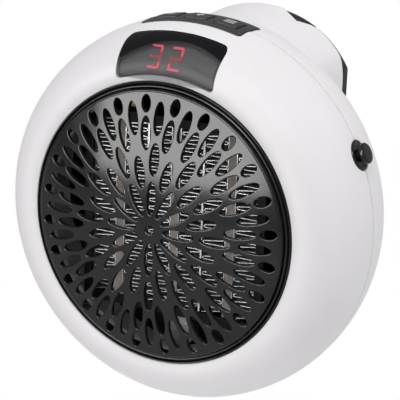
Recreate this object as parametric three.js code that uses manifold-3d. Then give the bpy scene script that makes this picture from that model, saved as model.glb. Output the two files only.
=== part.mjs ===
// Plug-in fan heater, in millimetres, +Z up. The origin is the centre of the plug's face: the wall is
// the plane Y = 0 and the room lies towards -Y. Depths below are counted from the trim ring's front
// edge back towards the wall, and clock angles from the top, clockwise as seen from the room.
import * as THREE from 'three';
import { mergeVertices } from 'three/addons/utils/BufferGeometryUtils.js';
import Module from 'manifold-3d';

const wasm = await Module();
wasm.setup();

// Body
const bodyRadius = 82.5;       // widest circle, where the two shells meet
const bodyBulge = 18.3;        // how far it swells beyond the crest
const crestRadius = bodyRadius - bodyBulge;   // circle that stands furthest towards the room
const frontCurve = 30.9;       // depth of the rounded front half
const rearCurve = 33.6;        // depth of the rounded rear half
const rearDome = 2.4;          // swell of the flat back
const seamDepth = 30;          // depth of the seam
const wall = 2.4;              // shell wall
const gap = 0.3;               // running and seating clearance
const facets = 40;             // facets round the body
const midFacets = 24;          // round inner pieces
const fewFacets = 8;           // screws, bosses and pins
const frontRows = 8;           // steps of the body's profile in front of the seam and behind it
const rearRows = 5;
const backRows = 2;            // steps over the flat back, and over the side of the plug housing
const overrun = 5;             // how far a cutting tool runs past a face
const weld = 1e-4;             // points nearer than this are one

// Trim ring and grille
const ringInset = 4.4;         // the ring's outer edge lies this far inside the crest
const ringRadius = crestRadius - ringInset;
const ringWidth = 2.5;
const ringCrown = 1;           // the ring's rounded front stands out by this
const seatDepth = 4.2;         // flange that carries ring and grille
const seatWidth = 4.6;
const seatThickness = 2;
const collarWall = 2.5;
const grilleStep = 2.5;        // the dome's shoulder stands this far in front of the ring's edge
const grilleRise = 6;          // height of the dome over its shoulder
const grilleThickness = 1.8;
const grilleSkirt = 1.2;       // wall of the rim round the dome
const hubHoleRadius = 1.9;
const slotTurn = THREE.MathUtils.degToRad(1);   // the whole pattern sits turned by this
// Slots, from the hub outwards: count, turn in steps, and radii and half width as shares of the grille
const slotShares = [
  { count: 12, turn: 0, from: 0.109, to: 0.353, half: 0.034 },
  { count: 12, turn: 0.5, from: 0.306, to: 0.534, half: 0.037 },
  { count: 12, turn: 0, from: 0.397, to: 0.629, half: 0.037 },
  { count: 24, turn: 0.5, from: 0.579, to: 0.815, half: 0.038 },
  { count: 24, turn: 0, from: 0.687, to: 0.922, half: 0.037 },
  { count: 24, turn: 0.5, from: 0.844, to: 0.965, half: 0.035 },
];
const slotPoints = 6;
const domeFacets = 24;         // one to each slot of the outer rows
const domeRows = 3;

// Display
const lensHalfWidth = 22;      // at its lower edge
const lensFlare = 0.85;        // it is wider by this on each side at its upper edge
const lensTurn = THREE.MathUtils.degToRad(0.5);   // it sits turned by this about the body's axis
const lensInset = 1.5;         // its lower edge lies this far inside the crest
const lensTall = 15.9;
const lensLow = crestRadius - lensInset;      // radii of its edges about the body's axis
const lensHigh = lensLow + lensTall;
const lensCorner = 3;
const lensThickness = 2;
const proud = 0.3;             // lens and panel stand out of the shell by this
const moduleSize = { x: 24, tall: 12, deep: 5 };
const digitLift = 6.3;         // the digits' middle sits this far over the lens's lower edge
const moduleRadius = lensLow + digitLift;
const moduleInset = 4.8;       // its face lies this far behind the lens's face there
const moduleLift = 0.9;        // the module sits this much above the digits' middle
const boardThickness = 1.6;
const displayBoardSize = { x: 36, tall: 12 };
const displayBoardLift = 3.6;

// Panel and keys
const panelFront = 20;         // depths of the strip's edges
const panelBack = 39.5;
const panelHalf = 23;
const panelStep = 0.45;        // the rear half of the strip is longer by this at each end
const panelCorner = 2;
const panelThickness = 2.2;
const panelLegRadius = 1.5;
const panelLegPlace = 20.6;
const keySize = { x: 10.6, y: 9.4 };
const keyPitch = 13.8;
const keyDepth = 29.6;         // depth of the keys' middle
const keyProud = 0.8;
const keyTravel = 0.5;
const keyBoardSink = 8.9;      // the board's upper face lies this far under the body's top
const keyBoardTop = bodyRadius - keyBoardSink;
const keyBoardSize = { x: 46, y: 15 };
const tactSize = { wide: 6, tall: 4.3 };

// Power switch
const switchClock = THREE.MathUtils.degToRad(64.8);
const switchDepth = 29.5;
const bezelRadius = 6.3;
const bezelThickness = 1.7;
const bezelSink = 1.6;         // how deep the bezel's flange is let into the shells
const bezelDish = 0.9;
const bezelBarrel = 4.6;
const neckRadius = 2.4;
const capRadius = 4.4;
const capThickness = 2.1;
const capReach = 3.5;          // cap's face beyond the bezel
const switchTravel = 1.8;      // what the cap moves when pressed
const switchBodySize = { wide: 8.4, tall: 11 };

// Heating block
const flangeInset = 20.5;      // the frame's round flange is smaller than the body by this
const flangeRadius = bodyRadius - flangeInset;
const flangeThickness = 2.2;
const flangeDepth = 28.3;      // front face of the frame's flange
const frameWall = 2.5;
const frameLip = 1.2;
const frameLipDeep = 1.2;
const frameMargin = 1.47;      // the square frame's corners stay this far inside its flange
const blockFront = 12.5;
const blockDeep = 12;
const blockSide = Math.SQRT2 * (flangeRadius - frameMargin) - 2 * (frameWall + gap);
const barWidth = 4.4;
const platWidth = 0.8;         // separator plates
const endPlateWidth = 1;
const foilThickness = 0.36;
const foldCount = 23;
const earRadius = 5;
const earOut = 4;              // the ears' screws sit this far outside the flange's circle
const earPlace = flangeRadius + earOut;
const terminalSize = { x: 6.3, y: 0.8, tall: 5.5 };
const terminalDepth = 20;
const cutoutTall = 7;
const cutoutMargin = 2;        // it stays this far inside the flange's edge
const cutoutSpace = 1.6;       // free space beside it, between the frame and that margin
const cutoutRoom = flangeRadius - cutoutMargin - blockSide / 2 - gap - frameWall;
const cutoutRadius = cutoutRoom / 2 - cutoutSpace;
const cutoutDrop = flangeRadius - cutoutRadius - cutoutMargin;

// Fan
const fanRadius = 37.4;
const tipClearance = 1;
const shroudWall = 2;
const shroudDeep = 20;
const spiderDepth = 46;
const spiderThickness = 2.5;
const spokeWidth = 5;
const spokeCount = 4;
const hubRadius = 11;
const hubDeep = 9;
const hubWall = 2;
const bladeCount = 7;
const bladeThickness = 1.2;
const bladeChord = { root: 9, tip: 19 };
const bladePitch = { root: 0.82, tip: 0.45 };
const motorRadius = 12;
const motorDeep = 20;
const motorBoss = { radius: 3, deep: 2 };
const shaftRadius = 1;
const cupWall = 1.8;
const cupDeep = 8;

// Plug housing on the rear shell, and the swivelling plug in it
const humpRadius = 48.3;
const humpDrop = 2.3;          // the housing's top lies this far under the body's top
const plugRise = bodyRadius - humpRadius - humpDrop;   // height of the plug's axis over the body's axis
const humpSide = 8.1;          // its flat sides lie this far inside its circle
const humpFlat = humpRadius - humpSide;
const humpCorner = 5;          // softness of the corners between its round and its flat sides
const humpTaper = 2.8;         // the housing is narrower by this where it leaves the body
const humpStart = 40;          // depth where it starts to leave the body
const humpBlend = 5;
const humpWall = 3;
const boardSpace = 1.2;        // the control board lies this far behind the motor
const controlDepth = spiderDepth + spiderThickness + gap + motorDeep + boardSpace;
const rimBehind = 20.7;        // the housing's rim stands this far behind the front of that board
const rimDepth = controlDepth + rimBehind;
const rimRound = 1.5;
const rimPlate = 6.4;          // thickness of the plate behind the rim
// Finger notches in the rim, one on each side of the plug, with the front edge of each in pairs of
// clockwise place and reach forward from the rim's face
const notchClock = THREE.MathUtils.degToRad(21);
const notchDeep = 3.9;         // how far the floor comes in from the rim's circle
const notchEdge = [[-10.5, 0], [-7, 2.6], [-5.1, 4], [0, 5.9], [8.3, 3.4], [9.6, 3], [10.6, 0]];
const neckWall = 2.7;
const dialThickness = 5;
const dialInset = { round: 2.4, flat: 0.7 };   // the dial is smaller than the housing by this
const dialRadius = humpRadius - dialInset.round;
const dialFlat = humpFlat - dialInset.flat;
const baseRadius = 18;
const baseHeight = 7;
const baseInner = 4;           // the insert's inner end stands this far inside the rim plate
const pinRadius = 2.4;
const pinReach = 19;
const pinSpacing = 19;
const pinRoot = 14;
const keeperWidth = 5;
const keeperThickness = 2;
const slipThickness = 1;
const slipInner = { from: 2.4, to: 6.2 };
const slipOuter = { from: 12.6, to: 16.4 };
const slipTab = 2.2;
const leafWidth = 3;
const leafThickness = 0.5;
const leafFoot = 6;

// Control board and what it carries
const controlSize = { x: 62, tall: 48 };
const postRadius = 3;
const postPlace = { x: 26, z: 20 };
const relaySize = { x: 19, y: 15, z: 15 };
const moduleBoxSize = { x: 20, y: 13, z: 17 };
const capacitorSize = { radius: 5, deep: 12 };
const boardMargin = 1;

// Screws
const screwRadius = 1.45;
const screwHole = 1.75;
const screwHead = { radius: 2.8, deep: 2.2 };
const screwLength = 18;
const bossRadius = 4;
const bossBore = 12;
const towerRadius = 5;
const towerMargin = 1;         // the towers clear the flanges of frame and shroud by this
const bossPlace = flangeRadius + towerRadius + towerMargin;
const bossClocks = [95, 180, 265].map(THREE.MathUtils.degToRad);
const earClocks = [45, 135, 225, 315].map(THREE.MathUtils.degToRad);
const towerFloor = 10;         // the screw head sits this far behind the seam
const headBore = 3.4;

// Rear vents
const ventPitch = 7;
const ventHalfWidth = 1.7;
const ventMargin = 5;
const ventRows = Math.floor((humpRadius - ventMargin) / ventPitch);   // on each side of the middle one
const ventInset = 7.2;         // their lower ends lie on a circle this far inside the crest
const ventRadius = crestRadius - ventInset;

// Materials
function finish(color, roughness, metalness = 0) {
  return new THREE.MeshStandardMaterial({ color, roughness, metalness });
}
const white = finish(0xeae7ea, 0.4);
const glossBlack = finish(0x111113, 0.18);
const mattBlack = finish(0x2b2b2e, 0.55);
const smoke = finish(0x2a2a2d, 0.12);
const panelGrey = finish(0x3a3a3d, 0.45);
const aluminium = finish(0xc9ccd0, 0.35, 0.9);
const tan = finish(0xb9a797, 0.6);
const darkPlastic = finish(0x1d1d1f, 0.6);
const boardGreen = finish(0x1f5a36, 0.5);
const steel = finish(0xb5b8bc, 0.3, 0.95);
const brass = finish(0xc9a557, 0.35, 0.9);
const blueBox = finish(0x24507a, 0.5);

// Merges a geometry's vertices, drops its empty triangles and turns its faces outwards
function closedMesh(geometry) {
  const bare = geometry.clone();
  bare.deleteAttribute('normal');
  bare.deleteAttribute('uv');
  const merged = mergeVertices(bare, weld);
  const place = merged.attributes.position.array;
  const source = merged.index.array;
  const triangles = [];
  let volume = 0;
  const corner = (i) => new THREE.Vector3(place[3 * i], place[3 * i + 1], place[3 * i + 2]);
  for (let t = 0; t < source.length; t += 3) {
    const [a, b, c] = [source[t], source[t + 1], source[t + 2]];
    if (a === b || b === c || c === a) continue;
    triangles.push(a, b, c);
    volume += corner(a).dot(corner(b).cross(corner(c)));
  }
  if (volume < 0) {
    for (let t = 0; t < triangles.length; t += 3) {
      [triangles[t + 1], triangles[t + 2]] = [triangles[t + 2], triangles[t + 1]];
    }
  }
  return { place: new Float32Array(place), triangles: new Uint32Array(triangles) };
}

function solid(geometry) {
  const { place, triangles } = closedMesh(geometry);
  return new wasm.Manifold(new wasm.Mesh({ numProp: 3, vertProperties: place, triVerts: triangles }));
}

const join = (first, ...others) => others.reduce((sum, other) => sum.add(other), first);
const cut = (first, ...others) => others.reduce((rest, other) => rest.subtract(other), first);
const common = (first, ...others) => others.reduce((rest, other) => rest.intersect(other), first);

function geometryOf(shape) {
  const mesh = shape.getMesh();
  const geometry = new THREE.BufferGeometry();
  geometry.setAttribute('position', new THREE.BufferAttribute(new Float32Array(mesh.vertProperties), 3));
  geometry.setIndex(new THREE.BufferAttribute(new Uint32Array(mesh.triVerts), 1));
  return geometry;
}

// A solid turned about the depth axis; the profile is a closed loop of [radius, depth] pairs
function turned(profile, segments = midFacets) {
  const points = profile.map(([radius, depth]) => new THREE.Vector2(radius, depth));
  points.push(points[0].clone());
  return solid(new THREE.LatheGeometry(points, segments));
}

function disc(radius, from, to, segments = midFacets) {
  return turned([[0, from], [radius, from], [radius, to], [0, to]], segments);
}

function tube(inner, outer, from, to, segments = midFacets) {
  return turned([[inner, from], [outer, from], [outer, to], [inner, to]], segments);
}

function drawnOut(shape, depth, curveSegments = 4) {
  return new THREE.ExtrudeGeometry(shape, { depth, bevelEnabled: false, curveSegments });
}

// A front-view outline (x to the right, y up) drawn out between two depths
function plate(shape, from, to, curveSegments) {
  return solid(drawnOut(shape, to - from, curveSegments).rotateX(Math.PI / 2).translate(0, to, 0));
}

// A top-view outline (x to the right, y towards the wall) drawn out between two heights
function column(shape, low, high) {
  return solid(drawnOut(shape, high - low).translate(0, 0, low));
}

// A side-view outline (x towards the wall, y up) drawn out to both sides of the middle plane
function slice(shape, width) {
  const geometry = drawnOut(shape, width);
  const turn = new THREE.Matrix4().set(0, 0, 1, -width / 2, 1, 0, 0, 0, 0, 1, 0, 0, 0, 0, 0, 1);
  return solid(geometry.applyMatrix4(turn));
}

const block = (x, y, z, at = [0, 0, 0]) => solid(new THREE.BoxGeometry(x, y, z).translate(...at));

const outline = (points) => new THREE.Shape(points.map(([x, y]) => new THREE.Vector2(x, y)));

// Skin over loops of equal length: closed on itself, or with a fan over each end
function skin(loops, wrapped) {
  const count = loops[0].length;
  const place = loops.flat(2);
  const triangles = [];
  const strips = wrapped ? loops.length : loops.length - 1;
  for (let row = 0; row < strips; row += 1) {
    const next = (row + 1) % loops.length;
    for (let i = 0; i < count; i += 1) {
      const j = (i + 1) % count;
      const [a, b, c, d] = [row * count + i, row * count + j, next * count + i, next * count + j];
      triangles.push(a, b, c, b, d, c);
    }
  }
  if (!wrapped) {
    for (const [row, flip] of [[0, false], [loops.length - 1, true]]) {
      const hub = place.length / 3;
      const loop = loops[row];
      place.push(...[0, 1, 2].map((k) => loop.reduce((sum, point) => sum + point[k], 0) / count));
      for (let i = 0; i < count; i += 1) {
        const [a, b] = [row * count + i, row * count + (i + 1) % count];
        triangles.push(...(flip ? [a, b, hub] : [b, a, hub]));
      }
    }
  }
  const geometry = new THREE.BufferGeometry();
  geometry.setAttribute('position', new THREE.BufferAttribute(new Float32Array(place), 3));
  geometry.setIndex(triangles);
  return solid(geometry);
}

function piece(name, shape, material, parent) {
  const mesh = new THREE.Mesh(geometryOf(shape), material);
  mesh.name = name;
  parent.add(mesh);
  return mesh;
}

// Frame of the heater: depth along Y from the ring, body's axis at X = Z = 0
const heater = new THREE.Group();
// Frame of the plug: the same depths, its own axis
const plug = new THREE.Group();
plug.position.z = plugRise;
heater.add(plug);

// Place on a circle about the body's axis: clock angle and radius to x and z
const around = (clock, radius) => [radius * Math.sin(clock), radius * Math.cos(clock)];

// Point [radius, depth] of the body's round outline at a profile angle, set in from the surface
function bodyPoint(angle, inset = 0) {
  const curve = angle < 0 ? frontCurve : rearCurve;
  const across = Math.cos(angle) / bodyBulge;
  const along = Math.sin(angle) / curve;
  const size = Math.hypot(across, along);
  return [
    crestRadius + bodyBulge * Math.cos(angle) - inset * across / size,
    seamDepth + curve * Math.sin(angle) - inset * along / size,
  ];
}

// Evenly spaced values, both ends included
function steps(from, to, count) {
  return Array.from({ length: count + 1 }, (_, i) => from + (to - from) * i / count);
}

const openingRadius = ringRadius + gap;
const openingAngle = -Math.PI + Math.acos((crestRadius - openingRadius) / bodyBulge);

// The whole round body as a full solid, set in from its surface
function bodyOfRevolution(inset) {
  const front = steps(openingAngle, 0, frontRows).map((angle) => bodyPoint(angle, inset));
  const rear = steps(0, Math.PI / 2, rearRows).slice(1).map((angle) => bodyPoint(angle, inset));
  return turned([[0, front[0][1]], ...front, ...rear, [0, rear.at(-1)[1]]], facets);
}
const bodyProud = bodyOfRevolution(-proud);

// Distance from a centre on the middle plane to a circle about the plug's or the body's axis
function reach(centre, circleRise, radius, clock) {
  const off = circleRise - centre;
  const inside = radius * radius - (off * Math.sin(clock)) ** 2;
  return inside > 0 ? off * Math.cos(clock) + Math.sqrt(inside) : 0;
}

// The same distance to the plug housing: a circle with two flat sides that come in with it
function humpReach(centre, radius, clock) {
  const round = reach(centre, plugRise, radius, clock);
  const flat = (humpFlat - humpRadius + radius) / Math.max(Math.abs(Math.sin(clock)), weld);
  const near = Math.max(humpCorner - Math.abs(round - flat), 0) / humpCorner;
  return Math.min(round, flat) - near * near * humpCorner / 4;
}

// One loop of the rear shell: the round body and the plug housing, blended where they meet
function rearLoop(depth, centre, bodyCircle, humpCircle, blend) {
  return Array.from({ length: facets }, (_, i) => {
    const clock = 2 * Math.PI * i / facets;
    const body = reach(centre, 0, bodyCircle, clock);
    const hump = humpCircle > 0 ? humpReach(centre, humpCircle, clock) : 0;
    const near = blend > 0 ? Math.max(blend - Math.abs(body - hump), 0) / blend : 0;
    const radius = Math.max(body, hump) + near * near * blend / 4;
    const [x, z] = around(clock, radius);
    return [x, depth, centre + z];
  });
}

const humpAt = (depth) => humpRadius - humpTaper * Math.max(0, (rimDepth - depth) / (rimDepth - humpStart));
const share = (value, from, to) => Math.min(1, Math.max(0, (value - from) / (to - from)));
const blendCentreShare = 0.376;   // part of the plug's rise, where the loops of the back are centred
const backEndShare = 0.24;        // part of the crest radius, where the housing has covered the back

// Loops over one face of the rear shell, from the seam to the plug housing's last loop
function rearFace(inset, humpInset) {
  const backCentre = plugRise * blendCentreShare;
  const backEnd = crestRadius * backEndShare;
  const loops = [];
  for (const angle of steps(0, Math.PI / 2, rearRows)) {
    const [radius, depth] = bodyPoint(angle, inset);
    const flow = share(depth, humpStart, seamDepth + rearCurve);
    const hump = depth > humpStart ? humpAt(depth) - humpInset : 0;
    const from = Math.max(depth, seamDepth + gap / 2);
    loops.push(rearLoop(from, backCentre * flow, radius, hump, humpBlend * flow));
  }
  for (const flow of steps(0, 1, backRows).slice(1)) {
    const radius = crestRadius + (backEnd - crestRadius) * flow;
    const depth = seamDepth + rearCurve - inset + rearDome * (1 - (radius / crestRadius) ** 2);
    loops.push(rearLoop(depth, backCentre, radius, humpAt(depth) - humpInset, humpBlend * (1 - flow)));
  }
  return loops;
}

function humpLoops(from, to, humpInset) {
  return steps(from, to, backRows).slice(1).map((depth) => (
    rearLoop(depth, plugRise * blendCentreShare, 0, humpAt(depth) - humpInset, 0)
  ));
}

const backDepth = seamDepth + rearCurve + rearDome;
const platePlane = rimDepth - rimPlate;
const neckRadiusOuter = baseRadius + gap + neckWall;
const rimHole = neckRadiusOuter + gap;

// Loop of the round hole for the dial's neck
function holeLoop(depth) {
  return Array.from({ length: facets }, (_, i) => {
    const [x, z] = around(2 * Math.PI * i / facets, rimHole);
    return [x, depth, plugRise + z];
  });
}

const outerFace = [
  ...rearFace(0, 0),
  ...humpLoops(backDepth, rimDepth - rimRound, 0),
  rearLoop(rimDepth, plugRise * blendCentreShare, 0, humpRadius - rimRound, 0),
];
const innerFace = [
  ...rearFace(wall, humpWall),
  ...humpLoops(backDepth - wall, platePlane, humpWall),
];
const rearSkin = skin([
  ...outerFace,
  holeLoop(rimDepth),
  holeLoop(platePlane),
  ...innerFace.toReversed(),
], true);
const rearEnvelope = skin(outerFace, false);

// Display lens outline in the front view, grown by a clearance
function lensOutline(grow) {
  const half = lensHalfWidth + grow;
  const wide = half + lensFlare;
  const low = lensLow - grow;
  const high = lensHigh + grow;
  const lowClock = Math.asin(half / low);
  const highClock = Math.asin(wide / high);
  const lowEnd = lowClock - lensCorner / low;
  const highEnd = highClock - lensCorner / high;
  const bottom = low * Math.cos(lowClock);
  const top = high * Math.cos(highClock);
  const lean = lensFlare * lensCorner / (top - bottom);
  const shape = new THREE.Shape();
  shape.moveTo(...around(-lowEnd, low));
  shape.absarc(0, 0, low, Math.PI / 2 + lowEnd, Math.PI / 2 - lowEnd, true);
  shape.quadraticCurveTo(...around(lowClock, low), half + lean, bottom + lensCorner);
  shape.lineTo(wide - lean, top - lensCorner);
  shape.quadraticCurveTo(...around(highClock, high), ...around(highEnd, high));
  shape.absarc(0, 0, high, Math.PI / 2 - highEnd, Math.PI / 2 + highEnd, false);
  shape.quadraticCurveTo(...around(-highClock, high), lean - wide, top - lensCorner);
  shape.lineTo(-half - lean, bottom + lensCorner);
  shape.quadraticCurveTo(...around(-lowClock, low), ...around(-lowEnd, low));
  return shape;
}

// Button strip outline in the top view, grown by a clearance: its rear half is a step longer
function panelOutline(grow) {
  const front = panelFront - grow;
  const back = panelBack + grow;
  const half = panelHalf + grow;
  const long = half + panelStep;
  const right = [
    [half - panelCorner, front], [half, front + panelCorner], [half, seamDepth - 2 * panelStep],
    [long, seamDepth - panelStep], [long, back - panelCorner], [long - panelCorner, back],
  ];
  return outline([...right, ...right.toReversed().map(([x, y]) => [-x, y])]);
}

function lensColumn(grow) {
  const shape = plate(lensOutline(grow), -overrun, seamDepth - overrun);
  return solid(geometryOf(shape).rotateY(lensTurn));
}

function rectangle(x, y, atX = 0, atY = 0) {
  const [left, right, low, high] = [atX - x / 2, atX + x / 2, atY - y / 2, atY + y / 2];
  return outline([[left, low], [right, low], [right, high], [left, high]]);
}

// Puts a solid behind the lens: its Y runs inwards from the body's surface at the digits' middle
function behindLens(shape, inset, lift) {
  const angle = -Math.PI + Math.acos((crestRadius - moduleRadius) / bodyBulge);
  const [radius, depth] = bodyPoint(angle, inset);
  const [outerRadius, outerDepth] = bodyPoint(angle, 0);
  const tilt = Math.atan2(outerRadius - radius, depth - outerDepth);
  const place = new THREE.Vector3(0, depth + lift * Math.sin(tilt), radius + lift * Math.cos(tilt));
  return solid(geometryOf(shape).rotateX(-tilt).translate(...place));
}

function displayModule(grow) {
  const { x, tall, deep } = moduleSize;
  const shape = block(x + 2 * grow, deep + 2 * grow, tall + 2 * grow);
  return behindLens(shape, moduleInset + deep / 2, moduleLift);
}

const panelHole = column(panelOutline(gap), keyBoardTop, bodyRadius + overrun);

// Places a shape that was turned about the depth axis so that it points out at the power switch
function atSwitch(shape) {
  const geometry = geometryOf(shape).rotateX(Math.PI / 2).rotateY(switchClock).translate(0, switchDepth, 0);
  return solid(geometry);
}
const bezelFloor = bodyRadius - bezelSink;
const switchHole = atSwitch(join(
  disc(bezelRadius + gap, bezelFloor - gap, bodyRadius + overrun),
  disc(bezelBarrel + gap, bodyRadius - 2 * wall, bodyRadius),
));

function screwAt(shape, clock, radius) {
  const [x, z] = around(clock, radius);
  return shape.translate(x, 0, z);
}

// Boss, tower or hole on a screw's axis
function post(radius, from, to, clock, place) {
  return screwAt(disc(radius, from, to, fewFacets), clock, place);
}

// Profile angles between which the front shell's inner face follows the outer one
const innerSweep = [-0.2, -1.5];

function frontShell() {
  const outer = steps(openingAngle, 0, frontRows).map((angle) => bodyPoint(angle));
  outer[outer.length - 1][1] = seamDepth - gap / 2;
  const lipOuter = bodyRadius - wall - gap;
  const lipInner = lipOuter - wall / 2;
  const lipEnd = seamDepth + wall;
  const inner = steps(...innerSweep, rearRows).map((angle) => bodyPoint(angle, wall));
  const collar = openingRadius + collarWall;
  const seatBack = seatDepth + seatThickness;
  const shell = turned([
    ...outer,
    [lipOuter, seamDepth - gap / 2], [lipOuter, lipEnd], [lipInner, lipEnd], [lipInner, seamDepth - wall],
    ...inner,
    [collar, inner.at(-1)[1]], [collar, seatBack], [openingRadius - seatWidth, seatBack],
    [openingRadius - seatWidth, seatDepth], [openingRadius, seatDepth],
  ], facets);
  const places = [
    ...bossClocks.map((clock) => [seamDepth, clock, bossPlace]),
    ...earClocks.map((clock) => [flangeDepth - gap, clock, earPlace]),
  ];
  const posts = places.map(([end, clock, place]) => post(bossRadius, 0, end, clock, place));
  const bores = places.map(([end, clock, place]) => (
    post(screwHole, end - bossBore, end + gap, clock, place)
  ));
  const bosses = common(join(...posts), bodyOfRevolution(wall / 2));
  return cut(
    join(shell, bosses),
    lensColumn(gap),
    displayModule(gap),
    panelHole,
    switchHole,
    ...bores,
  );
}

// Slot between two radii as a row of vents: the plug housing's edge above, the round back below
function vent(x) {
  const top = plugRise - Math.sqrt(humpRadius ** 2 - x ** 2) - ventMargin;
  const bottom = -Math.sqrt(ventRadius ** 2 - x ** 2);
  const shape = new THREE.Shape();
  shape.absarc(x, top - ventHalfWidth, ventHalfWidth, 0, Math.PI, false);
  shape.absarc(x, bottom + ventHalfWidth, ventHalfWidth, Math.PI, 2 * Math.PI, false);
  return plate(shape, seamDepth + rearCurve - 2 * overrun, backDepth + overrun, 1);
}

function rearShell() {
  const towers = join(...bossClocks.map((clock) => (
    post(towerRadius, seamDepth + gap, backDepth, clock, bossPlace)
  )));
  const boardPost = disc(postRadius, controlDepth + boardThickness + gap, platePlane + wall, fewFacets);
  const corners = [[1, 1], [-1, 1], [1, -1], [-1, -1]];
  const posts = corners.map(([x, z]) => (
    boardPost.translate(x * postPlace.x, 0, plugRise + z * postPlace.z)
  ));
  const headSeat = seamDepth + towerFloor;
  const bores = bossClocks.flatMap((clock) => [
    post(screwHole, seamDepth, headSeat + gap, clock, bossPlace),
    post(headBore, headSeat, backDepth + overrun, clock, bossPlace),
  ]);
  const edge = notchEdge.map(([x, forward]) => [x, rimDepth - forward]);
  const [left, right] = [edge[0][0], edge.at(-1)[0]];
  const notch = column(
    outline([[left, rimDepth + overrun], ...edge, [right, rimDepth + overrun]]),
    humpRadius - notchDeep, humpRadius + overrun,
  );
  const notches = [notchClock, notchClock + Math.PI].map((clock) => (
    solid(geometryOf(notch).rotateY(clock).translate(0, 0, plugRise))
  ));
  const vents = steps(-ventRows, ventRows, 2 * ventRows).map((row) => vent(row * ventPitch));
  return cut(
    join(rearSkin, common(towers, rearEnvelope), ...posts),
    ...bores, ...notches, ...vents, panelHole, switchHole,
  );
}

function trimRing() {
  const inner = ringRadius - ringWidth;
  const crown = steps(0, Math.PI, 3).map((angle) => [
    ringRadius - ringWidth / 2 + ringWidth / 2 * Math.cos(angle), -ringCrown * Math.sin(angle),
  ]);
  return turned([[inner, seatDepth - gap], [ringRadius, seatDepth - gap], ...crown], facets);
}

const grilleRadius = ringRadius - ringWidth - gap;
const domeRadius = grilleRadius - grilleSkirt / 2;
const slotReach = grilleStep + grilleRise + overrun;

// Cutter for an oval slot whose long axis points along a clock angle
function slot(centre, across, along, clock) {
  const points = Array.from({ length: slotPoints }, (_, i) => {
    const angle = 2 * Math.PI * i / slotPoints;
    return new THREE.Vector2(across * Math.cos(angle), along * Math.sin(angle))
      .rotateAround(new THREE.Vector2(), -clock).add(new THREE.Vector2(...centre));
  });
  return plate(new THREE.Shape(points), -slotReach, slotReach);
}

// Dome on a rim with a bevelled shoulder, its slots cut through; its facets meet between the outer slots
function frontGrille() {
  const dome = (flow, set) => [flow * domeRadius, set - grilleStep - grilleRise * (1 - flow ** 2)];
  const front = steps(1, 0, domeRows).map((flow) => dome(flow, 0));
  const back = steps(0, 1, domeRows).map((flow) => dome(flow, grilleThickness));
  const turn = 2 * Math.PI / domeFacets;
  const skinned = turned([...front, ...back], domeFacets);
  const shell = solid(geometryOf(skinned).rotateY(turn / 4 + slotTurn));
  const slots = [slot([0, 0], hubHoleRadius, hubHoleRadius, 0)];
  for (const { count, turn: first, from, to, half } of slotShares) {
    const middle = grilleRadius * (from + to) / 2;
    for (let i = 0; i < count; i += 1) {
      const clock = 2 * Math.PI * (i + first) / count + slotTurn;
      slots.push(slot(around(clock, middle), grilleRadius * half, grilleRadius * (to - from) / 2, clock));
    }
  }
  const inside = grilleRadius - grilleSkirt;
  const rim = turned([
    [inside, seatDepth - gap], [grilleRadius, seatDepth - gap], [grilleRadius, grilleSkirt - grilleStep],
    [domeRadius, -grilleStep], [inside, -grilleStep],
  ], facets);
  return join(cut(shell, ...slots), rim);
}

function displayLens() {
  return cut(
    common(lensColumn(0), bodyProud),
    bodyOfRevolution(lensThickness - proud),
  );
}

function displayPieces() {
  piece('display_lens', displayLens(), smoke, heater);
  piece('display_module', displayModule(0), darkPlastic, heater);
  const board = block(displayBoardSize.x, boardThickness, displayBoardSize.tall);
  const boardInset = moduleInset + moduleSize.deep + gap + boardThickness / 2;
  piece('display_board', behindLens(board, boardInset, displayBoardLift), boardGreen, heater);
}

function keyHole(x) {
  return column(rectangle(keySize.x + 2 * gap, keySize.y + 2 * gap, x, keyDepth), 0, bodyRadius + overrun);
}

function buttonPanel() {
  const strip = cut(
    common(column(panelOutline(0), keyBoardTop, bodyRadius + overrun), bodyProud),
    bodyOfRevolution(panelThickness - proud),
  );
  const legTop = Math.sqrt((bodyRadius - panelThickness / 2) ** 2 - panelLegPlace ** 2);
  const legBottom = keyBoardTop + gap;
  const leg = new THREE.CylinderGeometry(panelLegRadius, panelLegRadius, legTop - legBottom, fewFacets)
    .rotateX(Math.PI / 2).translate(0, keyDepth, (legTop + legBottom) / 2);
  const legs = [1, -1].map((side) => solid(leg).translate(side * panelLegPlace, 0, 0));
  return cut(join(strip, ...legs), ...[-1, 0, 1].map((i) => keyHole(i * keyPitch)));
}

function keyPieces() {
  piece('button_panel', buttonPanel(), panelGrey, heater);
  const keyTops = bodyOfRevolution(-keyProud);
  const { wide, tall } = tactSize;
  const keyLow = keyBoardTop + gap + tall + keyTravel + gap;
  const places = [
    { key: 'key_minus', tact: 'tact_switch_left', x: -keyPitch },
    { key: 'key_plus', tact: 'tact_switch_middle', x: 0 },
    { key: 'key_mode', tact: 'tact_switch_right', x: keyPitch },
  ];
  for (const { key, tact, x } of places) {
    const stem = column(rectangle(keySize.x, keySize.y, x, keyDepth), keyLow, bodyRadius + overrun);
    piece(key, common(stem, keyTops), panelGrey, heater);
    piece(tact, block(wide, wide, tall, [x, keyDepth, keyBoardTop + gap + tall / 2]), darkPlastic, heater);
  }
  const { x, y } = keyBoardSize;
  const board = block(x, y, boardThickness, [0, keyDepth, keyBoardTop - boardThickness / 2]);
  piece('key_board', board, boardGreen, heater);
}

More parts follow.
